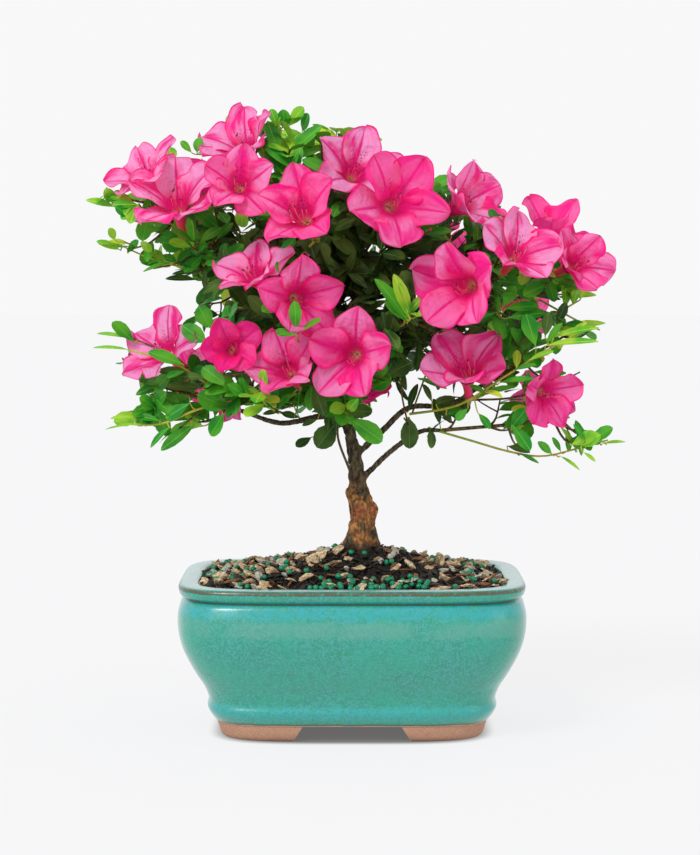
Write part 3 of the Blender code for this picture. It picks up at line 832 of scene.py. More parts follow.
# %% Lumps and flakes
def lump(name, seed, shape, dents=0.22, rounds=2):
    """A small stone or crumb: a ball of triangles, squashed and dented."""
    rng = random.Random(seed)
    made = bmesh.new()
    bmesh.ops.create_icosphere(made, subdivisions=rounds, radius=0.5)
    cuts = [any_way(rng).normalized() for _ in range(6)]
    for vert in made.verts:
        way = vert.co.normalized()
        cut = sum(max(0.0, way.dot(c) - 0.45) for c in cuts)
        vert.co *= 1 - dents * cut * 1.6 + rng.uniform(-dents, dents) * 0.25
        vert.co = stretched(vert.co, shape)
    return mesh_from(name, made)


def family(name, meshes):
    """A hidden collection of shapes for a rule to pick from, in the order of their names."""
    made = bpy.data.collections.new(name)
    for i, mesh in enumerate(meshes):
        made.objects.link(bpy.data.objects.new(f"{i:02d}_{name}", mesh))
    return made


def forget(shapes):
    for obj in list(shapes.objects):
        bpy.data.objects.remove(obj)
    bpy.data.collections.remove(shapes)


print("lumps ready")

# %% The rule that scatters shapes on the ground
scatter_inputs = {
    "Shapes": "Collection", "Spacing": "Float", "Per square metre": "Float", "Crowding": "String",
    "Smallest": "Float", "Largest": "Float", "Lift": "Float", "Tilt": "Float", "Seed": "Int",
    "Finish": "Material",
}
scatter = Rule("scatter_on_ground", scatter_inputs)
seed, tilt = scatter.given("Seed"), scatter.given("Tilt")
where_to = {
    "Mesh": scatter.given(), "Distance Min": scatter.given("Spacing"), "Seed": seed,
    "Density Max": scatter.given("Per square metre"),
    "Density Factor": scatter.named(scatter.given("Crowding")),
}
points = scatter.node("GeometryNodeDistributePointsOnFaces", {"distribute_method": "POISSON"}, where_to)
raised = scatter.node("ShaderNodeCombineXYZ", {}, {2: scatter.given("Lift")})
points = scatter.node("GeometryNodeSetPosition", {}, {"Geometry": points, "Offset": raised})
least = scatter.node("ShaderNodeCombineXYZ", {}, {0: 0 - tilt, 1: 0 - tilt, 2: 0.0})
most = scatter.node("ShaderNodeCombineXYZ", {}, {0: tilt, 1: tilt, 2: 2 * math.pi})
any_turn = {0: least, 1: most, "Seed": seed}
any_turn = scatter.node("FunctionNodeRandomValue", {"data_type": "FLOAT_VECTOR"}, any_turn)
any_size = {2: scatter.given("Smallest"), 3: scatter.given("Largest"), "Seed": seed + 7}
any_size = scatter.node("FunctionNodeRandomValue", {"data_type": "FLOAT"}, any_size, 1)
scatter.end(scatter.copies(points, any_turn, any_size, {}), smooth=False)
print("scattering inputs:", list(scatter.keys))

# %% [markdown]
# The stones' colours are plain, each kind with its own grain and pits. The pellets are resin-coated
# beads, so they are smooth, round and glossy.


# %% Finishes of what lies on the soil
def crumb_finish(name, light, dark, grain, rough, depth):
    made = Finish(name, {"Specular IOR Level": 0.35})
    grains = made.noise(grain, 4, 0.7)
    patches = made.noise(7, 2)
    tone = made.mix(grains.rise(0.3, 0.7), paint(dark), paint(light))
    made.feed("Base Color", made.coats(tone, (patches.rise(0.5, 0.7) * 0.5, dark)))
    made.feed("Roughness", rough + grains * 0.15)
    made.relief(grains, depth)
    return made


SOIL_KINDS = (
    # name, the shapes' seeds and form; then
    # spacing, density, where, size from, size to, lift, tilt, seed, finish
    ("soil_crumbs", range(5), ((1, 0.8, 0.7), 0.3, 1),
     1.4, 190000, "all_over", 1.6, 3.8, 0.5, 3.1, 1, ("wet_bark", "28221B", "0E0C0A", 0.9, 0.5, 0.5)),
    ("bark_flakes", range(10, 15), ((1, 0.42, 0.16), 0.25, 1),
     2.4, 42000, "all_over", 4.5, 11, 1.4, 0.6, 2, ("dark_bark", "382E26", "12100D", 0.8, 0.5, 0.4)),
    ("bark_chips", range(20, 25), ((1, 0.3, 0.14), 0.25, 1),
     6.5, 9000, "all_over", 8, 16, 2.2, 0.5, 3, ("brown_bark", "9A6A42", "3E2618", 0.9, 0.6, 0.3)),
    ("pumice_stones", range(30, 37), ((1, 0.66, 0.34), 0.5),
     7.8, 10000, "all_over", 7.5, 13.5, 2.0, 0.7, 4, ("pumice", "F0DDB6", "8A6C46", 1.6, 0.8, 0.8)),
    ("grey_stones", range(40, 45), ((1, 0.72, 0.45), 0.4),
     9, 2600, "all_over", 5.5, 10, 2.0, 0.8, 5, ("grey_stone", "D0D0C2", "78786C", 1.1, 0.75, 0.6)),
    ("feed_pellets", range(50, 53), ((1, 1, 0.94), 0.02),
     3.1, 110000, "front", 3.2, 4.1, 2.5, 3.1, 6, ("green_pellet", "0E9868", "035E40", 1.6, 0.2, 0.1)),
)
for name, seeds, form, spacing, dense, where, smallest, largest, lift, lean, seed, finish in SOIL_KINDS:
    shapes = family(name, [lump(name, shape_seed, *form) for shape_seed in seeds])
    values = {
        "Shapes": shapes, "Spacing": spacing * MM, "Per square metre": float(dense), "Crowding": where,
        "Smallest": smallest * MM, "Largest": largest * MM, "Lift": lift * MM, "Tilt": lean, "Seed": seed,
        "Finish": crumb_finish(*finish).material,
    }
    grown = scatter.grow(ground_mesh.copy(), values)
    forget(shapes)
    if name == "feed_pellets":
        grown.shade_smooth()
    show(name, grown)

# %% [markdown]
# ## Trunk and boughs
# The trunk follows the same line and radii as in the CAD, and so do the boughs. Tubes alone would meet
# in hard rings, so they are joined, remeshed in small voxels into one skin, and relaxed. That also
# gives even points for the bark's relief.

# %% Lines of the trunk, the boughs and the masses
TRUNK_LINE = (
    # height, x, y, radius
    (97, 5.0, 0, 15.5), (101, 5.0, 0, 13.0), (107, 5.0, 0, 10.2), (114, 5.4, 0, 8.4), (122, 6.0, 0, 7.7),
    (129, 5.4, 0, 7.7), (135, 3.6, 0, 6.6), (141, 3.0, 0, 5.3), (150, 2.5, 0, 4.5), (162, 1.2, 0, 4.0),
    (172, -1.2, 1, 3.7), (182, -2.6, 2, 3.5), (200, 0, 3, 3.2), (225, 5, 4, 2.8), (250, 8, 4, 2.3),
    (272, 8, 4, 1.7),
)
BURLS = (
    # height, bearing in degrees, how far it stands out, its spread
    (125, 5, 2.6, 4.0), (136, 175, 1.6, 3.2), (113, 235, 1.4, 5.0), (118, 300, 1.3, 3.5), (131, 255, 1.2, 3),
)
MASSES = (
    # name, centre, half size, height at which the bough leaves the trunk, its radii, what it passes
    ("upper_left", (-110, -4, 300), (46, 42, 44), 205, 2.6, 1.5, ((-52, 0, 262),)),
    ("top_left", (-60, 4, 328), (44, 42, 44), 243, 2.0, 1.3, ((-14, 2, 277),)),
    ("top", (-6, 6, 322), (40, 40, 40), 270, 1.6, 1.3, ()),
    ("top_right", (38, -8, 306), (38, 40, 38), 252, 1.8, 1.3, ()),
    ("upper_right", (106, 0, 284), (54, 44, 44), 216, 2.4, 1.4, ((46, 2, 238),)),
    ("right", (114, 2, 222), (50, 40, 34), 158, 2.1, 1.4, ((18, -1, 173), (34, -2, 187), (58, -2, 189))),
    ("lower_right", (104, -6, 178), (60, 38, 26), 141, 1.9, 1.3, ((22, -2, 160), (40, -3, 172.5))),
    ("middle_right", (60, -34, 250), (38, 38, 38), 224, 1.8, 1.3, ()),
    ("front", (-4, -44, 222), (38, 38, 38), 190, 1.8, 1.3, ()),
    ("middle_left", (-46, -32, 258), (42, 40, 38), 212, 1.9, 1.3, ()),
    ("lower_left", (-108, -2, 198), (54, 44, 34), 176, 2.3, 1.4, ((-16, -2, 182), (-42, -4, 178))),
    ("low_left_front", (-52, -30, 206), (38, 36, 30), 184, 1.6, 1.2, ()),
    ("back_left", (-72, 54, 262), (50, 42, 50), 198, 2.3, 1.4, ((-24, 22, 222),)),
    ("back", (4, 58, 292), (46, 38, 46), 232, 2.2, 1.4, ()),
    ("back_right", (72, 54, 248), (50, 42, 48), 194, 2.3, 1.4, ((28, 24, 216),)),
    ("low_back", (-8, 50, 212), (50, 38, 30), 187, 1.7, 1.3, ()),
)
BOUGH_END = 0.86
STEM_PAST_CENTRE = 0.45
LIMB_STEPS = 9
print("trunk sections:", len(TRUNK_LINE), "boughs:", len(MASSES))


# %% From the tables to boughs and stems
def trunk_at(height):
    """Centre and radius of the trunk at a height in mm."""
    heights, xs, ys, radii = zip(*TRUNK_LINE)
    x, y, radius = (float(np.interp(height, heights, row)) for row in (xs, ys, radii))
    return Vector((x, y, height)), radius


def read_mass(index, name, centre, half, leaves_at, foot, tip, passes):
    """A mass with its bough and its stem, by the rule that the CAD's source has."""
    centre, half = Vector(centre), Vector(half)
    way = [trunk_at(leaves_at)[0], *(Vector(p) for p in passes)]
    toward = way[-1] - centre
    edge = 1 / Vector([t / h for t, h in zip(toward, half)]).length
    way.append(centre + toward * edge * BOUGH_END)
    bough = smooth_path(way, LIMB_STEPS * (1 + len(passes)))
    start = bough[-1]
    stem = smooth_path([start, centre, centre + (centre - start) * STEM_PAST_CENTRE], LIMB_STEPS)
    return {
        "name": name, "centre": spot(*centre), "half": half * MM, "foot": foot, "tip": tip,
        "bough": [spot(*p) for p in bough], "stem": [spot(*p) for p in stem],
        "random": random.Random(100 + index),
    }


masses = [read_mass(i, *row) for i, row in enumerate(MASSES)]
print("masses:", len(masses))


# %% One skin of trunk and boughs
TRUNK_SIDES, BOUGH_SIDES, BOUGH_RINGS = 40, 14, 60
SWELL, SWELL_RINGS = 0.35, 8
VOXEL = 0.6 * MM


def ring_round(path, i, radius):
    """A ring square to a bough's path at one of its points."""
    before, after = path[max(0, i - 1)], path[min(len(path) - 1, i + 1)]
    along = (after - before).normalized()
    x = along.cross(not_along(along, BACK, RIGHT)).normalized()
    y = along.cross(x)
    return [path[i] + (x * math.cos(a) + y * math.sin(a)) * radius for a in bearings(BOUGH_SIDES)]


def trunk_ring(height):
    """One level section of the trunk: root lobes near the soil, flutes further up, and burls."""
    centre, radius = trunk_at(height)
    flare = max(0.0, 1 - (height - 99) / 18)
    ring = []
    for bearing in bearings(TRUNK_SIDES):
        lobes = 0.2 * flare**1.3 * math.cos(5 * bearing + 0.6) + 0.1 * math.cos(3 * bearing + height * 0.05)
        out = radius * (1 + lobes + 0.055 * math.cos(7 * bearing - height * 0.08))
        for burl_height, burl_bearing, stand, spread in BURLS:
            turn = bearing - math.radians(burl_bearing)
            around = 2 * math.sin(turn / 2) * radius / spread
            out += stand * math.exp(-(((height - burl_height) / spread) ** 2) - around**2)
        ring.append(spot(centre.x + math.cos(bearing) * out, centre.y + math.sin(bearing) * out, height))
    return ring


limbs = [loft("trunk", [trunk_ring(height) for height in range(TRUNK_LINE[0][0], TRUNK_LINE[-1][0] + 1)])]
for mass in masses:
    path, radii = thick_line(smooth_path(mass["bough"], BOUGH_RINGS), mass["foot"], mass["tip"])
    radii = [r * (1 + SWELL * max(0, 1 - i / SWELL_RINGS)) for i, r in enumerate(radii)]
    limbs.append(loft("bough", [ring_round(path, i, radius) for i, radius in enumerate(radii)]))
wood = put("bark", gather("bark", limbs))
remesh = wood.modifiers.new("one_skin", "REMESH")
remesh.mode = "VOXEL"
remesh.voxel_size = VOXEL
relax = wood.modifiers.new("relax", "SMOOTH")
relax.factor = 0.5
relax.iterations = 3
wood_mesh = plain_mesh(wood)
print("points in the skin:", len(wood_mesh.vertices))

# %% [markdown]
# The bark's relief comes from a second rule: each point moves out along its normal by noise that is
# stretched up the trunk, so that it reads as plates and fissures. On the thin boughs it is shallower,
# and the mesh carries that as a number.

# %% Bark relief
RELIEF_DEPTH = 1.15 * MM
PLATE_SIZE = 5.5 * MM
# The relief's share on the thinnest wood, and where it starts to fade up the trunk, in mm.
THIN_SHARE = 0.22
FADE_TOP, FADE_LENGTH = 235, 90

places = np.empty(len(wood_mesh.vertices) * 3, dtype=np.float32)
wood_mesh.vertices.foreach_get("co", places)
places = (places.reshape(-1, 3) - np.array(HOME)) / MM
heights, *rows = (np.array(row) for row in zip(*TRUNK_LINE))
axis_x, axis_y, girth = (np.interp(places[:, 2], heights, row) for row in rows)
from_axis = np.hypot(places[:, 0] - axis_x, places[:, 1] - axis_y)
on_trunk = np.clip(2.2 - from_axis / (girth * 1.15), 0, 1)
low_down = np.clip((FADE_TOP - places[:, 2]) / FADE_LENGTH, 0.2, 1)
layer = wood_mesh.attributes.new("bulk", "FLOAT", "POINT")
layer.data.foreach_set("value", (THIN_SHARE + (1 - THIN_SHARE) * on_trunk * low_down).astype(np.float32))

bark_rule = Rule("bark_relief", {"Depth": "Float", "Plate": "Float", "Finish": "Material"})
place = {0: bark_rule.node("GeometryNodeInputPosition"), 1: (1.0, 1.0, 0.42)}
squeezed = bark_rule.node("ShaderNodeVectorMath", {"operation": "MULTIPLY"}, place)
plate = 1 / bark_rule.given("Plate")
cracks = {"Vector": squeezed, "Scale": plate}
cracks = bark_rule.node("ShaderNodeTexVoronoi", {"feature": "DISTANCE_TO_EDGE"}, cracks)
rough = {"Vector": squeezed, "Scale": plate * 1.4, "Detail": 5.0, "Roughness": 0.62}
rough = bark_rule.node("ShaderNodeTexNoise", {}, rough)
lift = (rough - 0.48) * 2.2 - (1 - cracks.rise(0.0, 0.16)) * 0.8
lift = lift * bark_rule.given("Depth") * bark_rule.named("bulk")
offset = {0: bark_rule.node("GeometryNodeInputNormal"), "Scale": lift}
offset = bark_rule.node("ShaderNodeVectorMath", {"operation": "SCALE"}, offset)
moved = {"Geometry": bark_rule.given(), "Offset": offset}
bark_rule.end(bark_rule.node("GeometryNodeSetPosition", {}, moved))
print("deepest relief, mm:", RELIEF_DEPTH / MM)

# %% The bark's finish
bark = Finish("azalea_bark", {"Specular IOR Level": 0.3})
z = bark.height()
fine = bark.noise(1.6, 5, 0.65, (1, 1, 0.4))
patch = bark.noise(8, 4, 0.6, (1, 1, 0.6))
pits = bark.noise(3, 4, 0.7)
grey = bark.mix(fine.rise(0.35, 0.7), paint("241E14"), paint("6F6348"))
rust = bark.mix(pits.rise(0.4, 0.64), paint("84492C"), paint("C4904E"))
rust = bark.coats(rust, (fine.rise(0.49, 0.32) * 0.75, "40261A"))
low_down = (z + patch * 30 - 15).rise(152, 130)
tone = bark.coats(
    bark.mix(low_down * patch.rise(0.4, 0.54), grey, rust),
    (patch.rise(0.6, 0.68) * pits.rise(0.4, 0.55) * low_down, "A8604A"),
    ((z + pits * 6 - 3).rise(110, 103) * 0.9, "221C17"),
)
bark.feed("Base Color", tone)
bark.feed("Roughness", 0.65 + fine * 0.25)
bark.relief(fine, 0.9)
bark_values = {"Depth": RELIEF_DEPTH, "Plate": PLATE_SIZE, "Finish": bark.material}
wood_nodes = ["trunk", *("bough_" + mass["name"] for mass in masses)]
show("trunk_and_boughs", bark_rule.grow(wood_mesh, bark_values), None, wood_nodes)

# %% [markdown]
# ## Blooms
# An azalea's bloom is a funnel: five broad lobes, joined below into a tube, with wavy margins and a
# throat that is spotted on its upper side. Each bloom stands where the photograph shows it and faces
# the way it faces there, and each of its lobes opens as far as it does there: a bloom on its side
# shows some lobes flat and others on edge. The rest follow the CAD's rule on the far side.

# %% Where the blooms are
# The tips of the lobes were picked. A separate program fitted place, facing, width, openings and turn
# to them for all but the last two blooms, and many of these were then corrected by eye.
BLOOMS = (
    # mass, throat centre, azimuth, elevation, width, how far each lobe opens from the axis, turn, and the
    # share of painted sheen, high on the blooms that face the light
    ("upper_left", (-117.5, -12, 320.5), -46, 47, 57, (58, 56, 62, 60, 60), -28, 0.95),
    ("upper_left", (-100.5, -32, 304), -10, 52, 66, (53, 53, 65, 60, 42), 11, 0.9),
    ("top_left", (-62, -6, 337.5), -33, 51, 60, (50, 60, 54, 53, 41), 14, 0.85),
    ("top_left", (-64, -50, 315.5), 0, 24, 53, (50, 44, 54, 67, 46), -2, 0.4),
    ("top", (0, -20, 323.5), 24, 34, 62, (60, 58, 66, 62, 62), -22, 0.95),
    ("middle_left", (-26.5, -60, 297.5), -21, 32, 66, (50, 32, 52, 58, 44), 10, 0.4),
    ("top_right", (22, -50, 305.5), 20, 18, 68, (50, 60, 56, 54, 60), 35, 0.4),
    ("upper_right", (61, -20, 305.5), 52, 26, 62, (36, 52, 48, 44, 38), -6, 0.9),
    ("upper_right", (93, -42, 275.5), 26, 34, 57, (63, 61, 54, 54, 56), -15, 0.7),
    ("upper_right", (118, 6, 289), 0, 72, 58, (46, 100, 50, 112, 50), 32, 0.3),
    ("upper_right", (127.5, -22, 271), 30, 16, 57, (24, 46, 34, 38, 70), -30, 0.6),
    ("middle_right", (67, -56, 260), -33, 1, 71, (36, 66, 38, 46, 48), 3, 0.35),
    ("middle_left", (-54, -56, 263), -41, 46, 53, (68, 53, 52, 57, 78), 22, 0.85),
    ("middle_left", (-32.5, -64, 253), 22, -6, 57, (60, 66, 38, 60, 58), 5, 0.35),
    ("front", (2, -66, 221), -18, 0, 61, (64, 46, 58, 52, 54), -7, 0.3),
    ("low_left_front", (-35, -58, 210), -18, 31, 55, (55, 61, 46, 44, 46), 24, 0.35),
    ("low_left_front", (-69, -48, 223), -5, 11, 45, (46, 42, 38, 50, 60), 20, 0.05),
    ("lower_left", (-108, -18, 219), -46, 33, 58, (56, 64, 62, 60, 74), 0, 0.9),
    ("right", (67, -34, 206.5), -7, 48, 62, (62, 56, 44, 50, 60), 36, 0.5),
    ("lower_right", (110.5, -30, 198), 37, -9, 47, (65, 60, 56, 62, 57), 0, 0.2),
    ("lower_left", (-70, -2, 194), -45, -25, 35, (50, 46, 48, 52, 50), 10, 0.6),
    ("front", (8, -22, 208), 70, -62, 38, (24, 22, 24, 22, 24), 10, 0.0),
)
# The far side's facings were printed by a run of the CAD's rule, and some were then turned by hand.
FAR_BLOOMS = (
    # mass, azimuth, elevation, width
    ("back_left", 113.5, 12, 54), ("back_left", 165, 6, 54), ("back_left", -86.5, 60, 54),
    ("back", 99.2, 12, 54), ("back", 179.2, 38, 54), ("back", -100.8, 60, 54),
    ("back_right", 130, -5, 54), ("back_right", 166.5, 38, 54), ("back_right", -113.5, 60, 54),
    ("low_back", -178.5, 12, 50), ("top", 178, 8, 50), ("upper_left", 172, 30, 48),
    ("upper_right", 150, -6, 48), ("lower_left", 165, 12, 48), ("lower_right", 165, 30, 44),
)
TUBE_SHARE = 0.31
FAR_REACH = 0.72
LOBES = 5

named = {mass["name"]: mass for mass in masses}
blooms = []
bloom_random = random.Random(5)
for name, throat, azimuth, elevation, width, opens, turn, pale in BLOOMS:
    blooms.append((named[name], spot(*throat), facing(azimuth, elevation), width * MM, opens, turn, pale))
for name, azimuth, elevation, width in FAR_BLOOMS:
    mass, out = named[name], facing(azimuth, elevation)
    throat = mass["centre"] + stretched(out, mass["half"]) * FAR_REACH
    middle = bloom_random.uniform(46, 64)
    opens = [middle + bloom_random.uniform(-9, 9) for _ in range(LOBES)]
    turn, pale = bloom_random.uniform(-36, 36), bloom_random.uniform(0.1, 0.9)
    blooms.append((mass, throat, out, width * MM, opens, turn, pale))
print("blooms:", len(blooms))

# %% [markdown]
# A petal is a grid along a centre line. The line runs up the funnel, then out at the lobe's own angle,
# and bends back a little at its tip. In the funnel the petals share the round between them. Further
# out each has its own breadth, which wanders a little, up to a more or less blunt point, a crease down
# its middle, one edge over its neighbour and one under, and a margin that waves. Cloth simulation would
# be slow for so many.


# %% A petal's centre line
FUNNEL_ROWS, LOBE_ROWS, ACROSS = 6, 17, 13
LOBE_LONG, LOBE_WIDE, LOBE_BEND = 0.9, 0.41, 24
LOBE_STEPS, LINE_STEPS = 8, 10
# Half width and height of the throat, as shares of half the bloom's width and of the tube's length.
# The throat is shut by the stamens' feet, so its floor lies high.
FUNNEL = ((0.02, 0.84), (0.06, 0.87), (0.1, 0.92), (0.16, 0.99))
# How far along the petal the funnel goes, for its colours.
FUNNEL_SHARE = 0.4
# What lifts a petal out of its own plane, as shares of half the bloom's width.
RUFFLE, RIPPLE, CREASE, OVERLAP = 0.07, 0.03, -0.035, 0.022


def ease(low, high, value):
    t = min(1.0, max(0.0, (value - low) / (high - low)))
    return t * t * (3 - 2 * t)


def petal_line(half, funnel, opens, bend):
    """The centre line in the plane of the axis, evenly through the funnel and then through the lobe."""
    line = [Vector((half * out, 0, funnel * up)) for out, up in FUNNEL]
    place = line[-1].copy()
    for step in range(LOBE_STEPS):
        angle = math.radians(opens + bend * (2 * (step + 0.5) / LOBE_STEPS - 1))
        place = place + Vector((math.sin(angle), 0, math.cos(angle))) * half * LOBE_LONG / LOBE_STEPS
        line.append(place)
    line = smooth_path(line, LINE_STEPS * (len(line) - 1) + 1)
    throat = LINE_STEPS * (len(FUNNEL) - 1)
    return line[: throat + 1], line[throat:]


print("rows of points in a petal:", FUNNEL_ROWS + LOBE_ROWS)


# %% One petal
def petal(half, funnel, opens, angle, rng):
    """The points of one petal round +Z, row by row, each with how far along and across it lies."""
    bend = LOBE_BEND * rng.uniform(0.7, 1.5)
    below, lobe = petal_line(half * rng.uniform(0.96, 1.03), funnel, opens, bend)
    broadest, fold = LOBE_WIDE * half * rng.uniform(0.93, 1.07), rng.uniform(-0.02, 0.1)
    phase, waves = rng.uniform(0, 6.3), rng.uniform(7, 11)
    twist, sway = rng.uniform(-0.16, 0.16), rng.uniform(-0.05, 0.05)
    blunt = 2.1 + 0.4 * math.sin(5 * phase)
    turned = Matrix.Rotation(angle, 3, "Z")
    points = []
    for i in range(FUNNEL_ROWS + LOBE_ROWS):
        out_there = i >= FUNNEL_ROWS
        q = 1 - (1 - (i - FUNNEL_ROWS + 1) / LOBE_ROWS) ** 1.4 if out_there else 0.0
        line, share = (lobe, q) if out_there else (below, i / FUNNEL_ROWS)
        centre = point_along(line, share)
        slope = point_along(line, min(1, share + 0.03)) - point_along(line, max(0, share - 0.03))
        slope = slope.normalized()
        normal = Vector((-slope.z, 0, slope.x))
        shared = centre.x * math.tan(math.pi / LOBES)
        if q <= 0.5:
            wide = shared + (broadest - shared) * ease(0.1, 0.5, q)
        else:
            wide = broadest * max(0.0, 1 - (2 * q - 1) ** blunt) ** (1.3 / blunt)
        free = ease(0.05, 0.5, q)
        along = FUNNEL_SHARE + (1 - FUNNEL_SHARE) * q if out_there else FUNNEL_SHARE * share
        for s in tapered(-1, 1, ACROSS):
            wander = 1 + 0.05 * free * math.sin(12 * q + phase * (3 if s > 0 else 5))
            arc = s * (math.pi / LOBES if q <= 0 else wide * wander / centre.x)
            wrapped = round_about(arc, centre.x, centre.z)
            point = wrapped.lerp(Vector((centre.x, wide * wander * s, centre.z)), 0.75 * free)
            ruffle = RUFFLE * math.sin(phase + waves * q + 1.5 * s)
            ruffle += RIPPLE * math.sin(2.3 * phase + 1.9 * waves * q)
            crease = CREASE * math.exp(-((s / 0.15) ** 2)) * ease(1.0, 0.7, q)
            shift = ruffle * abs(s) ** 2.2 + crease + OVERLAP * s + fold * s * s
            shift += twist * s * ease(0.3, 1, q) * wide / half
            point += normal * half * free * shift
            point.y += sway * half * q * q
            points.append((turned @ point, along, s))
    return points


print("points in a petal:", (FUNNEL_ROWS + LOBE_ROWS) * ACROSS)


# %% Stamens, and the parts of one bloom
TUBE = ((0.055, 0), (0.07, 0.35), (0.095, 0.7), (0.162, 0.985))
TUBE_SIDES, TUBE_RINGS = 24, 8
TUBE_CLEAR = 0.25 * MM
LOBE_BLOTCH = (1.0, 0.4, 0, 0, 0.4)


def stamens(half, funnel, rng):
    """Filaments and a longer style, which leave the funnel in a loose bundle and curve up."""
    lean = math.radians(rng.uniform(-130, -50))
    count = rng.choice((5, 6))
    threads = []
    for k in range(count + 1):
        style = k == count
        out = half * (rng.uniform(0.5, 0.6) if style else rng.uniform(0.2, 0.45))
        aside = round_about(lean + rng.uniform(-1.0, 1.0), 1) * half * rng.uniform(0.06, 0.24)
        start = round_about(k * 1.3, 1) * half * 0.03
        knots = [start + UP * funnel * 0.6, start + aside * 0.3 + UP * funnel * 0.9]
        knots.append(aside * 0.8 + UP * (funnel + out * 0.5))
        knots.append(aside + UP * (funnel + out) + BACK * half * 0.12)
        threads.append((smooth_path(knots, 8), style))
    return threads


def bloom_parts(index, throat, out, width, opens, turn):
    """A bloom's petals, its outer tube, its filaments and its anthers, in place."""
    rng = random.Random(900 + index)
    half, funnel = width / 2, width * TUBE_SHARE
    foot = throat - out * funnel
    place = placement(foot, out, not_along(out, UP, BACK), math.radians(turn))
    petals = []
    for lobe, blotch in enumerate(LOBE_BLOTCH):
        angle = math.pi / 2 + 2 * math.pi * lobe / LOBES + rng.uniform(-0.06, 0.06)
        points = petal(half, funnel, opens[lobe], angle, rng)
        petals.append(([(place @ p, t, s) for p, t, s in points], blotch, rng.random()))
    tube = []
    for out_share, up, _ in smooth_path([(*point, 0) for point in TUBE], TUBE_RINGS):
        radius = half * out_share + TUBE_CLEAR
        tube += [place @ round_about(a, radius, funnel * up) for a in bearings(TUBE_SIDES)]
    filaments, anthers = [], []
    for path, style in stamens(half, funnel, rng):
        path = [place @ p for p in path]
        filaments.append(thick_line(path, 0.3 if style else 0.22, 0.16))
        anthers.append((path[-1], (path[-1] - path[-2]).normalized(), style))
    return petals, tube, filaments, anthers, foot


print("lobes with spots:", sum(blotch > 0 for blotch in LOBE_BLOTCH))

# %% Every bloom in its place
petal_verts, petal_faces, tube_verts, tube_faces = [], [], [], []
carried = {"along": [], "across": [], "blotch": [], "tint": [], "pale": []}
filament_lines, anther_points, bloom_feet = [], [], []
for index, (mass, throat, out, width, opens, turn, pale) in enumerate(blooms):
    petals, tube, filaments, anthers, foot = bloom_parts(index, throat, out, width, opens, turn)
    for points, blotch, tint in petals:
        petal_faces += quads(FUNNEL_ROWS + LOBE_ROWS, ACROSS, len(petal_verts), closed=False)
        for point, t, s in points:
            petal_verts.append(point)
            for key, value in zip(carried, (t, s, blotch, tint, pale)):
                carried[key].append(value)
    tube_faces += quads(TUBE_RINGS, TUBE_SIDES, len(tube_verts))
    tube_verts += tube
    filament_lines += filaments
    anther_points += anthers
    bloom_feet.append((foot, out, width))
print("petals:", LOBES * len(blooms), "filaments:", len(filament_lines))

# %% [markdown]
# The pink is laid on along each petal: yellowish deep in the throat, deepest where the funnel opens,
# and clear pink further out with a paler painted sheen on it, laid on thickest on the blooms that face
# the light. A line runs down the crease, the margin is darker, and the upper lobe has dark spots. A
# petal is thin, so some light comes through it.

# %% Finishes of the blooms
PETAL_STOPS = (
    (0.0, "E6DC90"), (0.12, "F2B48E"), (0.24, "F65C92"), (0.38, "F2127A"),
    (0.6, "FA188A"), (0.85, "FD2292"), (1.0, "F4107E"),
)
pink = Finish("petal_pink", {"Roughness": 0.5, "Specular IOR Level": 0.12, "Sheen Weight": 0.04})
t, s = pink.carried("along"), pink.carried("across")
tint, pale = pink.carried("tint"), pink.carried("pale")
stray = pink.noise(9, 3) - 0.5


def petal_noise(across, along, scale):
    """Noise that follows a petal and differs from one petal to the next."""
    place = pink.node("ShaderNodeCombineXYZ", {}, {0: s * across, 1: t * along, 2: tint * 20})
    return pink.node("ShaderNodeTexNoise", {}, {"Vector": place, "Scale": scale, "Detail": 3.0})


sheen_patches, veins = petal_noise(0.9, 1.1, 1.7), petal_noise(15, 3.5, 1.0)
halves = s.size().between(0.05, 0.94, 0.07) * t.rise(0.42, 0.68)
# The paler pink in patches over the lobes' halves is a painted sheen, strongest on blooms set to face the
# light.
painted_sheen = halves * sheen_patches.rise(0.24, 0.6) * (tint * 0.35 + pale * 0.95)
spots = pink.cells(1.3).rise(0.36, 0.26) * pink.carried("blotch")
spots = spots * t.between(0.42, 0.68, 0.05) * s.size().rise(0.55, 0.3)
crease = s.size().rise(0.07, 0.0) * t.rise(0.36, 0.46) * t.rise(0.98, 0.7)
tone = pink.coats(
    pink.ramp(t + stray * 0.14, [(place, paint(code)) for place, code in PETAL_STOPS]),
    (painted_sheen.rise(0.0, 1.0), "FFACE2"),
    (veins.rise(0.46, 0.7) * t.rise(0.4, 0.6) * 0.18, "EE2886"),
    (crease * (0.2 + 0.25 * tint), "D80E6C"),
    (s.size().rise(0.92, 1.0) * t.rise(0.5, 0.7) * 0.4, "E81480"),
    (spots * 0.85, "9C0A4A"),
)
pink.feed("Base Color", tone)
pink.relief(veins * 0.5 + pink.noise(3.5, 3) * 0.8 + pink.noise(7, 2) * 1.6, 1.0)
pink.let_through(paint("FF2C98"), 0.36)

petal_mesh = mesh_of("petals", petal_verts, petal_faces, (), carried)
petal_mesh.shade_smooth()
show("petals", petal_mesh, pink)

salmon = Finish("tube_salmon", {"Roughness": 0.5, "Specular IOR Level": 0.3})
salmon.mottle(salmon.noise(5, 3), 0.3, 0.7, "D8433F", "E8266E")
salmon.relief(salmon.noise(1.2, 3), 0.3)
tube_mesh = mesh_of("bloom_tubes", tube_verts, tube_faces)
tube_mesh.shade_smooth()
show("bloom_tubes", tube_mesh, salmon)

# %% [markdown]
# ## Lines into twigs
# Twigs, stalks and filaments are all the same job: a skin round a line, as thick as each point says.
# One rule of Geometry Nodes does it for any number of lines at once.


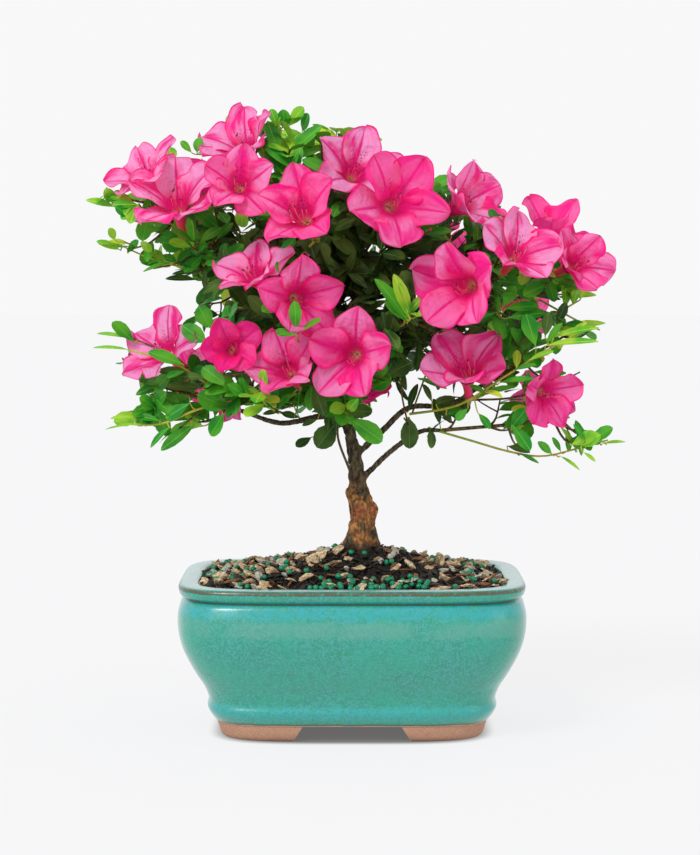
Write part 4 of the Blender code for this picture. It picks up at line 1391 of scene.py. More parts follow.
# %% The rule that gives lines their skin
def lines_mesh(name, lines):
    """Edges along each path, with the radius at each point."""
    verts, edges, thickness = [], [], []
    for path, radii in lines:
        first = len(verts)
        verts += path
        thickness += radii
        edges += [(first + i, first + i + 1) for i in range(len(path) - 1)]
    return mesh_of(name, verts, (), edges, {"thickness": thickness})


skin_rule = Rule("skin_on_lines", {"Sides": "Int", "Finish": "Material"})
section = {"Resolution": skin_rule.given("Sides"), "Radius": 1.0}
sweep = {
    "Curve": skin_rule.node("GeometryNodeMeshToCurve", {}, {"Mesh": skin_rule.given()}),
    "Profile Curve": skin_rule.node("GeometryNodeCurvePrimitiveCircle", {}, section),
    "Scale": skin_rule.named("thickness"), "Fill Caps": True,
}
skin_rule.end(skin_rule.node("GeometryNodeCurveToMesh", {}, sweep))


def show_lines(name, lines, sides, finish):
    values = {"Sides": sides, "Finish": finish.material}
    show(name, skin_rule.grow(lines_mesh(name, lines), values))


filament = Finish("filament_pink", {"Roughness": 0.45})
filament.mottle(filament.noise(6, 2), 0.35, 0.65, "DC3C78", "EC8A8C")
show_lines("filaments", filament_lines, 5, filament)

# %% [markdown]
# ## Dealing out
# Leaves, anthers and the small green cups under the blooms are shapes that are dealt out to points.
# Each point carries its shape's number, its turn and its size. A rule puts the shapes there, realizes
# them and paints them; a leaf's midrib gets a paler finish of its own.


# %% The rule that deals shapes out to points
def points_mesh(name, deals):
    """Points that carry the turn, the size and the number of a shape."""
    matrices, sizes, numbers = zip(*deals)
    verts = [matrix.to_translation() for matrix in matrices]
    turns = [tuple(matrix.to_euler()) for matrix in matrices]
    return mesh_of(name, verts, (), (), {"turn": turns, "size": sizes, "shape": numbers})


deal_rule = Rule("deal_out", {"Shapes": "Collection", "Finish": "Material", "Rib finish": "Material"})
number = deal_rule.node("FunctionNodeFloatToInt", {}, {0: deal_rule.named("shape")})
turn, size = deal_rule.named("turn", "FLOAT_VECTOR"), deal_rule.named("size", "FLOAT_VECTOR")
deal_rule.end(deal_rule.copies(deal_rule.given(), turn, size, {"Instance Index": number}))


def deal(name, deals, shapes, finish, rib=None):
    values = {"Shapes": shapes, "Finish": finish.material, "Rib finish": (rib or finish).material}
    return deal_rule.grow(points_mesh(name, deals), values)


def show_dealt(name, deals, shape, finish):
    """Deals out the only shape of its kind and shows the piece."""
    shapes = family(name, [shape])
    show(name, deal(name, deals, shapes, finish))
    forget(shapes)


print("dealing inputs:", list(deal_rule.keys))

# %% Anthers, and the cups under the blooms
ANTHER_SIZE = (0.85 * MM, 0.75 * MM, 1.7 * MM)
STIGMA_SIZE = (0.8 * MM, 0.8 * MM, 0.7 * MM)
CUP_RINGS = (
    # height, radius, how deep it is notched
    (-0.6, 0.28, 0), (-0.1, 0.42, 0), (0.3, 0.6, 0.05), (0.75, 0.8, 0.3), (1, 0.88, 0.62),
)
CUP_SIDES = 20
CUP_WIDE, CUP_LONG = 0.062, 0.075

anther = Finish("anther_maroon", {"Roughness": 0.6})
anther.mottle(anther.noise(0.6, 2), 0.3, 0.7, "45101F", "7A2A33")
anther_deals = []
for tip, way, style in anther_points:
    size = STIGMA_SIZE if style else ANTHER_SIZE
    anther_deals.append((placement(tip, way, not_along(way, BACK, RIGHT)), size, 0))
show_dealt("anthers", anther_deals, lump("anther", 3, (1, 1, 1), 0.05), anther)


def cup_ring(z, radius, notch):
    """One ring of a green cup of unit length, notched between its five sepals."""
    cuts = [notch * (0.5 - 0.5 * math.cos(5 * a)) for a in bearings(CUP_SIDES)]
    return [round_about(a, radius, z - cut * 0.8) for a, cut in zip(bearings(CUP_SIDES), cuts)]


sepal = Finish("sepal_green", {"Roughness": 0.55})
sepal.mottle(sepal.noise(2, 3), 0.3, 0.7, "5C8A2C", "93A83E")
cup_deals = []
for foot, out, width in bloom_feet:
    size = (width * CUP_WIDE, width * CUP_WIDE, width * CUP_LONG)
    cup_deals.append((placement(foot, out, not_along(out, UP, BACK)), size, 0))
show_dealt("bloom_cups", cup_deals, loft("cup", [cup_ring(*row) for row in CUP_RINGS]), sepal)

# %% [markdown]
# ## Growing the crown
# Each mass keeps to its own space, as in the CAD: a point belongs to the mass in whose rounded box it
# lies deepest. From the stem, twigs run to points spread evenly over that space, each twig has side
# shoots, and each shoot ends in a whorl of leaves. A leaf that would leave the space, or hide or cut
# a bloom, isn't grown, because a real bloom pushes its way out to the light.


# %% Space of the masses and of the blooms
CROWN_CENTRE, CROWN_HALF = spot(0, 0, 250), Vector((156, 95, 112)) * MM
# The throat's outline, as shares of half the bloom's width and of the tube's length.
THROAT_OUT, THROAT_UP = (0, 0.07, 0.1, 0.16), (0, 0.35, 0.7, 1.0)
PETAL_CLEAR = 3 * MM
TWIG_CLEAR = 20 * MM
LEAF_CLEAR = 45 * MM


def reach(point, centre, half):
    """How far out a point lies in a rounded box: 0 at its centre and 1 on its edge."""
    return Vector([(p - c) / h for p, c, h in zip(point, centre, half)]).length


def owns(mass, point, farthest):
    """True if a point lies deeper in this mass than in any other."""
    own = reach(point, mass["centre"], mass["half"])
    return own < farthest and all(own <= reach(point, other["centre"], other["half"]) for other in masses)


BLOOM_FEET, BLOOM_OUTS = (np.array([row[i] for row in bloom_feet]) for i in (0, 1))
HALVES = np.array([width / 2 for _, _, width in bloom_feet])
TUBES = np.array([width * TUBE_SHARE for _, _, width in bloom_feet])
OPENS = np.radians([np.mean(row[4]) for row in blooms])
RIMS = HALVES * (THROAT_OUT[-1] + 0.86 * np.sin(OPENS))


def hides_bloom(points, ahead):
    """True if a point lies in a bloom's petals, or less than the given way in front of them."""
    for point in points:
        away = np.array(point) - BLOOM_FEET
        depth = np.einsum("ij,ij->i", away, BLOOM_OUTS)
        across = np.linalg.norm(away - depth[:, None] * BLOOM_OUTS, axis=1)
        surface = np.interp(across / HALVES, THROAT_OUT, THROAT_UP) * TUBES
        surface += np.clip(across - THROAT_OUT[-1] * HALVES, 0, None) / np.tan(OPENS)
        if np.any((across < RIMS) & (depth > surface - PETAL_CLEAR) & (depth < surface + ahead)):
            return True
    return False


def sphere_directions(count):
    """Directions spread evenly over a sphere, turn by golden turn."""
    spread = []
    for i in range(count):
        z = 1 - 2 * (i + 0.5) / count
        spread.append(round_about(GOLDEN_ANGLE * i, math.sqrt(1 - z * z), z))
    return spread


print("crown spans, mm:", [round(2 * c * 1000) for c in CROWN_HALF])

# %% Where the photograph shows sky
# The outline of the leaves and the round gaps in it that show sky, in pixels. Neither list was chosen by
# eye: a separate program traced them on the photograph.
LEAF_OUTLINE = (
    (237, 104), (252, 112), (266, 104), (273, 112), (303, 107), (303, 113), (323, 127), (343, 122),
    (345, 135), (370, 124), (379, 131), (385, 153), (429, 154), (434, 178), (452, 175), (476, 150),
    (467, 168), (483, 169), (497, 177), (499, 185), (493, 197), (507, 209), (521, 208), (526, 188),
    (537, 191), (551, 209), (568, 199), (581, 198), (564, 231), (582, 230), (618, 260), (613, 276),
    (596, 285), (595, 294), (571, 301), (570, 308), (575, 310), (568, 311), (569, 320), (597, 316),
    (604, 324), (593, 328), (596, 336), (557, 350), (556, 357), (564, 359), (559, 360), (560, 367),
    (582, 380), (572, 401), (571, 420), (583, 433), (605, 426), (613, 439), (626, 439), (592, 446),
    (590, 454), (597, 460), (578, 454), (579, 468), (560, 460), (517, 458), (444, 435), (436, 436),
    (434, 449), (425, 435), (419, 435), (411, 447), (389, 451), (399, 436), (399, 425), (392, 424),
    (383, 432), (383, 440), (368, 451), (340, 451), (337, 444), (296, 446), (311, 434), (312, 423),
    (284, 422), (257, 406), (237, 409), (235, 422), (219, 436), (192, 432), (189, 438), (161, 448),
    (146, 444), (156, 433), (153, 425), (105, 424), (113, 413), (139, 410), (139, 394), (135, 393),
    (139, 382), (137, 369), (116, 363), (118, 349), (93, 345), (115, 344), (114, 337), (98, 330),
    (110, 330), (111, 323), (121, 319), (134, 328), (147, 326), (151, 310), (164, 303), (167, 309),
    (181, 311), (184, 319), (194, 318), (198, 289), (207, 289), (208, 282), (163, 276), (172, 272),
    (171, 265), (147, 270), (141, 268), (144, 257), (94, 241), (105, 237), (108, 229), (123, 235),
    (124, 227), (116, 220), (116, 208), (95, 204), (87, 197), (104, 195), (101, 181), (116, 171),
    (115, 158), (121, 149), (157, 151), (167, 132), (179, 140), (193, 141), (200, 128), (220, 124),
)
SKY_GAPS = (
    # pixel and radius
    (496, 437, 10), (382, 415, 9), (474, 433, 8), (391, 400, 7), (557, 432, 6), (217, 306, 6),
    (491, 405, 6), (469, 417, 5), (432, 392, 5), (420, 422, 5), (546, 438, 5), (457, 431, 5),
    (537, 449, 5), (294, 125, 4), (415, 377, 4), (446, 389, 4), (490, 416, 4), (512, 437, 4),
    (191, 156, 4), (248, 225, 4), (391, 387, 4), (570, 425, 4), (564, 449, 4), (128, 237, 4),
    (118, 343, 4), (423, 383, 4), (408, 384, 4), (424, 398, 4), (373, 403, 4), (449, 421, 4),
    (547, 428, 4), (534, 437, 4), (308, 252, 4), (380, 244, 4), (345, 299, 4), (381, 301, 4),
    (418, 301, 4),
)
SKY_MARGIN = 2


def shows_sky(point):
    """True if the photograph shows sky at a place, apart from the blooms."""
    u, v = pixel(point)
    within = False
    for (au, av), (bu, bv) in zip(LEAF_OUTLINE, LEAF_OUTLINE[1:] + LEAF_OUTLINE[:1]):
        if (av > v) != (bv > v) and u < au + (v - av) * (bu - au) / (bv - av):
            within = not within
    return not within or any(math.hypot(u - x, v - y) < wide + SKY_MARGIN for x, y, wide in SKY_GAPS)


print("gaps that show sky:", len(SKY_GAPS))

# %% [markdown]
# A shoot's leaves share a colour, since they are of an age. Deep green inside the crown is painted shade;
# outside it is clear green, brighter on the outer shoots, partly as new growth and partly as painted light,
# and yellow-green on the year's last shoots, of which the low tiers have fewer. The leaves are plain in
# colour for that reason, and each is dealt out with its spray.

# %% A leaf in its place
LEAF_SIZES = {"deep": (15, 21), "clear": (15, 21), "fresh": (14, 21), "young": (15, 21)}
NEW_SHADES = ("fresh", "young")
LOW_TIERS = spot(0, 0, 238).z
MIDPLANE = spot(0, 12, 0).y
LEAF_REACH = 1.12
wood_lines, green_lines = [], []
leaf_deals = {shade: [] for shade in LEAF_SIZES}


def leaf_count():
    return sum(len(deals) for deals in leaf_deals.values())


def shade_of(point, rng):
    """Deeper green further in, as painted shade; brighter on outer shoots, partly as painted light.
    Few of the low tiers' shoots are new.
    """
    depth = reach(point, CROWN_CENTRE, CROWN_HALF) + rng.uniform(-0.13, 0.13)
    if depth < 0.62:
        return "deep"
    if depth < 0.84:
        return "clear"
    low, newest = point.z < LOW_TIERS, rng.random()
    if newest < (0.07 if low else 0.2):
        return "young"
    return "clear" if low and newest > 0.45 else "fresh"


def grow_leaf(base, way, normal, length, shade, rng, room, shape):
    """Deals out one leaf, if it stays in its room: a mass, the crown, or nothing but off the petals.

    Its face turns partly up and out, to the light on its own side of the tree."""
    tip = base + way * length
    middle = base.lerp(tip, 0.55)
    outside = BACK * (-1 if base.y < MIDPLANE else 1) * rng.uniform(0.1, 1.1)
    if (normal + outside).cross(way).length > 0.2:
        normal = normal + outside
    beside = way.cross(normal).normalized() * length * 0.2
    if room and any(shows_sky(place) for place in (tip, middle, middle + beside, middle - beside)):
        return
    if room in masses and not (owns(room, middle, LEAF_REACH) and owns(room, tip, LEAF_REACH)):
        return
    if hides_bloom((middle, tip), LEAF_CLEAR if room else PETAL_CLEAR):
        return
    shape = rng.choice(MIXED_SHAPES) if shape is None else shape
    size = (length * rng.uniform(0.9, 1.12), length, length)
    leaf_deals[shade].append((placement(base, way, normal), size, shape))


print("leaf shades:", list(LEAF_SIZES))


# %% Leaves on a shoot, and a twig's line
def leaning(along_it, turn, degrees):
    """A direction that leans off a shoot, turned round it."""
    side = Matrix.Rotation(turn, 3, along_it) @ along_it.orthogonal().normalized()
    tilt = math.radians(degrees)
    return (along_it * math.cos(tilt) + side * math.sin(tilt)).normalized()


def whorl(path, count, shade, rng, room=None, lean=(32, 78), back=4.5, shape=None):
    """Leaves round the end of a shoot, each turned on from the last."""
    along_it = (path[-1] - path[-2]).normalized()
    first = rng.uniform(0, 2 * math.pi)
    for i in range(count):
        way = leaning(along_it, first + GOLDEN_ANGLE * i, rng.uniform(*lean))
        normal = along_it + UP * 0.9
        if normal.cross(way).length < 0.15:
            normal = along_it.orthogonal().normalized()
        base = path[-1] - along_it * back * MM * i / max(1, count - 1)
        grow_leaf(base, way, normal, rng.uniform(*LEAF_SIZES[shade]) * MM, shade, rng, room, shape)


def leaves_along(path, first, count, shade, rng, room=None, shape=None):
    """Single leaves up a shoot, turn by turn."""
    for i in range(count):
        share = first + (0.97 - first) * i / max(1, count)
        base = point_along(path, share)
        along_it = (point_along(path, min(1, share + 0.08)) - point_along(path, share - 0.08)).normalized()
        way = leaning(along_it, GOLDEN_ANGLE * i + rng.uniform(0, 1), rng.uniform(35, 70))
        normal = UP if abs(way.z) < 0.85 else along_it
        length = rng.uniform(*LEAF_SIZES[shade]) * 0.9 * MM
        grow_leaf(base, way, normal, length, shade, rng, room, shape)


def twig_between(root, tip, rng, sag=0.1, points=7):
    """A twig leaves its stem low and then turns up to its tip, with small kinks."""
    far = (tip - root).length
    kink = any_way(rng) * far * 0.06
    return smooth_path([root, root.lerp(tip, 0.5) + kink - UP * far * sag, tip], points)


def blocked(start, end):
    """True if a twig would end in the sky or hide a bloom."""
    return shows_sky(end) or hides_bloom((end, start.lerp(end, 0.5)), TWIG_CLEAR)


print("turn from leaf to leaf, degrees:", round(math.degrees(GOLDEN_ANGLE), 1))

# %% Growing a mass
TWIGS_IN_MASS = 15
THIN_MASSES = {"right": 14, "lower_right": 12, "lower_left": 13, "low_left_front": 12}


def grow_mass(mass):
    """Twigs to every side of a mass, with their leaves and side shoots."""
    rng, stem = mass["random"], mass["stem"]
    axis = stem[-1] - stem[0]
    stem_length = axis.length
    axis = axis.normalized()
    wood_lines.append(thick_line(stem, mass["tip"], 0.75))
    for way in sphere_directions(THIN_MASSES.get(mass["name"], TWIGS_IN_MASS)):
        way = (way + any_way(rng, 0.3)).normalized()
        outward = stretched(way, mass["half"])
        for share in (rng.uniform(0.7, 0.88), rng.uniform(0.5, 0.65), 0.36):
            tip = mass["centre"] + outward * share
            if owns(mass, tip, 1) and not shows_sky(tip):
                break
        else:
            continue
        ahead = (tip - stem[0]).dot(axis)
        beside = ((tip - stem[0]) - axis * ahead).length
        root = point_along(stem, min(0.95, max(0.02, (ahead - 0.8 * beside) / stem_length)))
        path = twig_between(root, tip, rng)
        if hides_bloom(path[2:], TWIG_CLEAR):
            continue
        shade, before = shade_of(tip, rng), leaf_count()
        whorl(path, rng.choice((5, 6, 7)), shade, rng, mass)
        leaves_along(path, 0.45, 4, "deep" if shade == "deep" else "clear", rng, mass)
        if leaf_count() == before:
            continue
        wood_lines.append(thick_line(path, 0.85, 0.5))
        for share in (0.5, 0.68, 0.85):
            start = point_along(path, share)
            lateral = Matrix.Rotation(rng.uniform(0, 2 * math.pi), 3, way) @ way.orthogonal().normalized()
            heading = (way * 0.7 + lateral * rng.uniform(0.6, 1) + UP * 0.3).normalized()
            end = start + heading * rng.uniform(9, 17) * MM
            if not owns(mass, end, 1.02) or blocked(start, end):
                continue
            shoot = twig_between(start, end, rng, 0.05, 4)
            shade, before = shade_of(end, rng), leaf_count()
            whorl(shoot, rng.choice((3, 4, 5)), shade, rng, mass)
            if leaf_count() > before:
                lines = green_lines if shade in NEW_SHADES else wood_lines
                lines.append(thick_line(shoot, 0.55, 0.4))


print("twigs in a full mass, at most:", TWIGS_IN_MASS)

# %% Growing the crown's inside
INNER_LOWEST = 196
INNER_FROM = spot(0, 0, INNER_LOWEST).z
INNER_SHAPES = (0, 1, 3, 3)


def grow_inside(path, steps, rng):
    """Short twigs off a limb's upper part, in the crown's shade, with narrow leaves in a painted shaded
    green.
    """
    for i in range(steps):
        start = point_along(path, 0.3 + 0.68 * i / steps)
        heading = any_way(rng).normalized() + UP * 0.3
        end = start + heading * rng.uniform(14, 32) * MM
        if start.z < INNER_FROM or blocked(start, end):
            continue
        twig = twig_between(start, end, rng, 0.05)
        wood_lines.append(thick_line(twig, 0.6, 0.4))
        whorl(twig, 5, "deep", rng, "crown", (25, 75), 8, rng.choice(INNER_SHAPES))
        leaves_along(twig, 0.4, 3, "deep", rng, "crown", rng.choice(INNER_SHAPES))


print("inner twigs start above, mm:", INNER_LOWEST)

# %% [markdown]
# A leaf is a narrow ellipse with a short stalk, folded a little along its midrib and bent back at the
# tip. Twenty-one faces are enough at this size. Five outlines, from lance-shaped to round, keep the
# sprays from looking stamped.

# %% Leaf outlines
LEAF_STATIONS = (0, 0.08, 0.24, 0.45, 0.66, 0.85, 0.95, 1)
LEAF_SHAPES = (
    # half widths at the stations before the tip, fold, bend
    ((0.018, 0.03, 0.12, 0.19, 0.195, 0.135, 0.07), 0.26, 0.1),
    ((0.018, 0.03, 0.12, 0.205, 0.225, 0.165, 0.09), 0.2, 0.16),
    ((0.018, 0.03, 0.12, 0.225, 0.265, 0.21, 0.12), 0.18, 0.06),
    ((0.018, 0.03, 0.1, 0.15, 0.15, 0.1, 0.05), 0.3, 0.2),
    ((0.018, 0.045, 0.2, 0.3, 0.31, 0.23, 0.13), 0.14, 0.12),
)
MIXED_SHAPES = (0, 1, 1, 2, 2, 3, 4)
RIB, RIB_LIFT = 0.011, 0.006


def leaf_mesh(index, widths, fold, bend):
    """A leaf of unit length along +Z with its upper side to +Y."""
    verts = []
    for share, wide in zip(LEAF_STATIONS, widths):
        back_bend = -bend * share * share
        for side in (-1, -RIB / max(wide, RIB), RIB / max(wide, RIB), 1):
            x = side * wide
            verts.append((x, back_bend + fold * abs(x) + (RIB_LIFT if abs(side) < 1 else 0), share))
    tip = len(verts)
    verts.append((0, -bend, 1))
    faces = quads(len(widths), 4, closed=False) + [(a, tip, a + 1) for a in range(tip - 4, tip - 1)]
    ribs = [k == 1 for _ in widths for k in range(3)]
    mesh = mesh_of(f"leaf_{index}", verts, faces)
    mesh.attributes.new("rib", "BOOLEAN", "FACE").data.foreach_set("value", ribs)
    return mesh


leaf_shapes = family("leaf", [leaf_mesh(i, *row) for i, row in enumerate(LEAF_SHAPES)])
print("leaf outlines:", len(LEAF_SHAPES))

# %% Grow every mass, and a collar of leaves under each bloom
COLLAR_BELOW = 6 * MM
for mass in masses:
    grow_mass(mass)
    grow_inside(mass["bough"], 10, mass["random"])
grow_inside([spot(*trunk_at(height)[0]) for height in range(150, 280, 10)], 26, random.Random(61))
for index, (mass, throat, out, width, *_) in enumerate(blooms):
    rng = random.Random(300 + index)
    foot = throat - out * width * TUBE_SHARE
    for root in sorted(mass["stem"][1:], key=lambda p: (p - foot).length):
        path = twig_between(root, foot, rng, 0.08)
        if not hides_bloom(path[:5], TWIG_CLEAR):
            break
    wood_lines.append(thick_line(path[:5], 0.9, 0.75))
    green_lines.append(thick_line(path[4:], 0.75, 0.7))
    collar = path[:-1] + [path[-1] - out * COLLAR_BELOW]
    whorl(collar, 6, shade_of(foot, rng), rng, mass, (55, 105), 3)
print("leaves so far:", leaf_count())

# %% [markdown]
# Some shoots give the tree its outline in the photograph: the long low one on the right, the tips of
# the left pads, the bright young shoot in the middle. These are placed by the pixels where they show,
# each starting on a bough or stem that the CAD has.

# %% Shoots that the photograph shows one by one
SHOOTS = (
    # pixels and depths along the shoot; foot radius; shade; leaves along it; leaves at its end; outline
    (((428, 428, -2), (469, 440, -8), (511, 452, -12), (545, 456, -14), (586, 446, -14), (608, 440, -14)),
     0.8, "fresh", 9, 4, 3),
    (((410, 414, -2), (444, 409, -20), (469, 400, -40), (501, 379, -44), (549, 349, -36), (578, 335, -26)),
     0.9, "young", 12, 6, 3),
    (((470, 400, -6), (510, 398, -16), (548, 388, -20), (580, 372, -18)), 0.8, "clear", 7, 5, 0),
    (((222, 392, -10), (195, 376, -34), (168, 360, -42), (128, 350, -30)), 1.0, "clear", 7, 5, 1),
    (((190, 378, -8), (158, 350, -12), (132, 338, -12)), 0.7, "clear", 3, 4, 1),
    (((240, 397, -8), (196, 410, -32), (160, 424, -32), (122, 424, -22)), 0.9, "clear", 7, 5, 0),
    (((215, 396, -8), (192, 418, -16), (170, 436, -18)), 0.7, "clear", 5, 5, 1),
    (((285, 414, -12), (250, 402, -22), (222, 410, -26)), 0.8, "clear", 5, 4, 4),
    (((350, 471, 0), (338, 438, -4), (340, 414, -5), (344, 397, -6)), 0.8, "deep", 3, 4, 1),
    (((352, 428, -6), (356, 422, -16), (358, 418, -20)), 0.6, "deep", 0, 4, 4),
    (((404, 418, -4), (408, 424, -10), (408, 426, -12)), 0.5, "clear", 0, 2, 4),
    (((215, 262, -6), (185, 267, -8), (150, 258, -10), (122, 246, -10)), 0.8, "fresh", 7, 5, 1),
    (((200, 238, -6), (150, 215, -8), (112, 203, -8)), 0.8, "fresh", 6, 6, 1),
    (((407, 420, -2), (402, 396, -6), (400, 374, -10)), 0.6, "deep", 2, 3, 1),
    (((412, 414, -2), (418, 396, -6), (426, 374, -10)), 0.6, "deep", 2, 2, 0),
    (((325, 185, 2), (312, 150, 4), (303, 128, 4)), 0.8, "fresh", 6, 6, 1),
    (((345, 185, 6), (340, 150, 6), (332, 138, 6)), 0.7, "young", 4, 6, 0),
    (((280, 200, 0), (262, 150, 2), (284, 126, 4)), 0.7, "fresh", 5, 6, 1),
    (((540, 322, -4), (566, 308, -8), (580, 300, -8)), 0.8, "fresh", 5, 6, 1),
    (((540, 300, 0), (580, 322, -6), (600, 330, -8)), 0.7, "fresh", 5, 4, 0),
    (((372, 320, -24), (400, 326, -46), (409, 312, -58)), 0.9, "fresh", 0, 3, 3),
    (((276, 412, -34), (264, 402, -56), (262, 390, -64)), 0.6, "fresh", 2, 5, 2),
    (((300, 352, -40), (297, 338, -70), (296, 330, -78)), 0.6, "clear", 0, 3, 1),
    (((510, 230, -10), (520, 222, -22), (496, 214, -28)), 0.6, "clear", 0, 4, 2),
)
# A shoot that comes this far towards the viewer, in mm, is green, or is free of the crown's other leaves.
GREEN_FROM, FREE_FROM = -30, -40
for index, (way, radius, shade, along_count, end_count, shape) in enumerate(SHOOTS):
    rng = random.Random(700 + index)
    path = smooth_path([seen(*p) for p in way], 4 * len(way))
    lines = green_lines if shade in NEW_SHADES or way[1][2] < GREEN_FROM else wood_lines
    lines.append(thick_line(path, radius, 0.5))
    room = None if way[-1][2] < FREE_FROM else "crown"
    leaves_along(path, 0.45, along_count, shade, rng, room, shape)
    whorl(path, end_count, shade, rng, room, (25, 70), 5, shape)
print("leaves in all:", {shade: len(deals) for shade, deals in leaf_deals.items()})

# %% [markdown]
# The leaves at the crown's edges and by the trunk can be told apart in the photograph, so they are
# dealt out one by one: where each starts, where it ends and how broad it is. Each grows on a thin
# stalk from the shoot or twig that lies nearest to it.

# %% Leaves that the photograph shows one by one
LONE_LEAVES = (
    # shade, pixel of the base, pixel of the tip, breadth in pixels
    ("clear", 347, 417, 383, 441, 22), ("deep", 335, 424, 317, 447, 22), ("deep", 312, 437, 296, 446, 10),
    ("deep", 345, 412, 372, 410, 17), ("deep", 409, 417, 410, 448, 18), ("deep", 430, 427, 433, 448, 10),
    ("deep", 440, 425, 435, 399, 11), ("clear", 478, 413, 491, 427, 9), ("clear", 468, 408, 456, 420, 9),
    ("clear", 512, 425, 531, 449, 14), ("deep", 507, 446, 530, 451, 9), ("clear", 536, 347, 526, 314, 17),
    ("clear", 587, 444, 612, 427, 15), ("fresh", 556, 331, 604, 318, 9), ("fresh", 550, 338, 598, 323, 8),
    ("fresh", 545, 346, 597, 336, 8), ("clear", 584, 440, 575, 423, 6), ("clear", 508, 367, 519, 340, 13),
    ("fresh", 520, 300, 487, 290, 12), ("clear", 535, 300, 516, 288, 13), ("fresh", 560, 297, 596, 291, 9),
    ("clear", 508, 318, 545, 311, 15), ("clear", 497, 312, 470, 322, 12), ("deep", 455, 413, 440, 402, 12),
    ("clear", 135, 343, 113, 321, 17), ("fresh", 127, 338, 97, 330, 5), ("fresh", 130, 350, 93, 344, 4),
    ("clear", 184, 365, 149, 350, 15), ("clear", 210, 328, 199, 306, 18), ("clear", 207, 343, 182, 325, 18),
    ("clear", 167, 385, 139, 374, 14), ("clear", 170, 381, 135, 392, 11), ("deep", 202, 388, 168, 384, 10),
    ("clear", 177, 392, 150, 403, 14), ("clear", 155, 408, 141, 397, 13), ("fresh", 134, 417, 110, 416, 5),
    ("fresh", 146, 424, 105, 425, 3), ("clear", 160, 421, 133, 413, 9), ("clear", 190, 403, 165, 418, 15),
    ("clear", 170, 427, 148, 445, 8), ("clear", 195, 425, 159, 448, 13), ("clear", 224, 414, 209, 435, 20),
    ("fresh", 263, 388, 263, 371, 13), ("fresh", 272, 405, 240, 381, 7), ("fresh", 274, 404, 262, 384, 6),
    ("fresh", 276, 404, 296, 391, 6), ("clear", 300, 400, 328, 404, 8), ("clear", 245, 372, 226, 366, 11),
    ("fresh", 115, 207, 88, 197, 9), ("fresh", 113, 203, 106, 189, 11), ("fresh", 124, 208, 117, 190, 13),
    ("clear", 133, 220, 116, 206, 12), ("fresh", 192, 153, 181, 141, 8), ("clear", 197, 153, 199, 137, 12),
    ("fresh", 277, 126, 271, 109, 10), ("clear", 285, 129, 283, 110, 13), ("fresh", 288, 127, 303, 107, 14),
    ("clear", 302, 131, 307, 114, 15), ("clear", 292, 152, 320, 124, 16), ("clear", 280, 157, 268, 120, 14),
    ("clear", 288, 160, 318, 147, 9), ("clear", 283, 165, 265, 150, 12), ("fresh", 120, 250, 97, 240, 9),
    ("fresh", 115, 240, 110, 228, 9), ("clear", 128, 253, 137, 239, 10), ("clear", 216, 240, 232, 222, 10),
    ("clear", 213, 240, 203, 222, 10), ("clear", 213, 243, 194, 236, 9), ("fresh", 218, 245, 236, 240, 9),
    ("fresh", 172, 236, 152, 226, 10), ("fresh", 176, 234, 180, 217, 11), ("clear", 408, 322, 380, 276, 15),
    ("fresh", 410, 320, 396, 273, 14), ("fresh", 414, 318, 434, 304, 11), ("clear", 404, 320, 386, 300, 9),
    ("clear", 470, 238, 466, 215, 9), ("fresh", 478, 252, 477, 226, 9), ("clear", 500, 225, 490, 210, 12),
    ("clear", 172, 262, 143, 268, 5), ("clear", 165, 259, 147, 262, 4), ("deep", 197, 280, 165, 275, 8),
    ("deep", 200, 272, 172, 271, 6), ("clear", 552, 454, 539, 442, 7), ("clear", 561, 452, 553, 437, 6),
    ("fresh", 577, 451, 564, 426, 6), ("clear", 586, 446, 576, 422, 8), ("fresh", 602, 444, 626, 439, 4),
    ("fresh", 560, 456, 581, 468, 4), ("fresh", 583, 452, 597, 461, 4), ("clear", 520, 454, 540, 462, 4),
    ("deep", 400, 378, 406, 363, 12), ("deep", 409, 410, 415, 383, 9), ("deep", 436, 404, 455, 398, 11),
    ("deep", 432, 402, 424, 384, 8), ("clear", 446, 415, 462, 409, 9), ("clear", 418, 378, 446, 386, 6),
    ("deep", 300, 418, 282, 412, 8), ("clear", 312, 412, 332, 408, 7), ("deep", 290, 406, 274, 397, 8),
    ("deep", 318, 419, 302, 425, 6), ("clear", 308, 408, 296, 395, 8), ("clear", 322, 402, 334, 392, 7),
    ("deep", 280, 412, 262, 412, 6), ("clear", 252, 222, 240, 212, 8), ("deep", 236, 228, 228, 212, 9),
    ("clear", 476, 397, 516, 382, 7), ("clear", 499, 383, 534, 375, 7), ("fresh", 529, 360, 553, 349, 6),
    ("clear", 502, 308, 515, 286, 13), ("clear", 505, 309, 539, 304, 13), ("clear", 514, 370, 536, 362, 6),
    ("deep", 556, 324, 567, 303, 11), ("deep", 545, 337, 549, 313, 11), ("deep", 530, 320, 511, 313, 10),
    ("deep", 552, 320, 531, 309, 10), ("clear", 486, 393, 470, 384, 6), ("clear", 547, 343, 560, 322, 8),
    ("deep", 190, 373, 158, 368, 10), ("clear", 184, 381, 154, 377, 9), ("deep", 206, 378, 178, 374, 9),
)
LEAF_BREADTH = [2 * max(widths) for widths, fold, bend in LEAF_SHAPES]
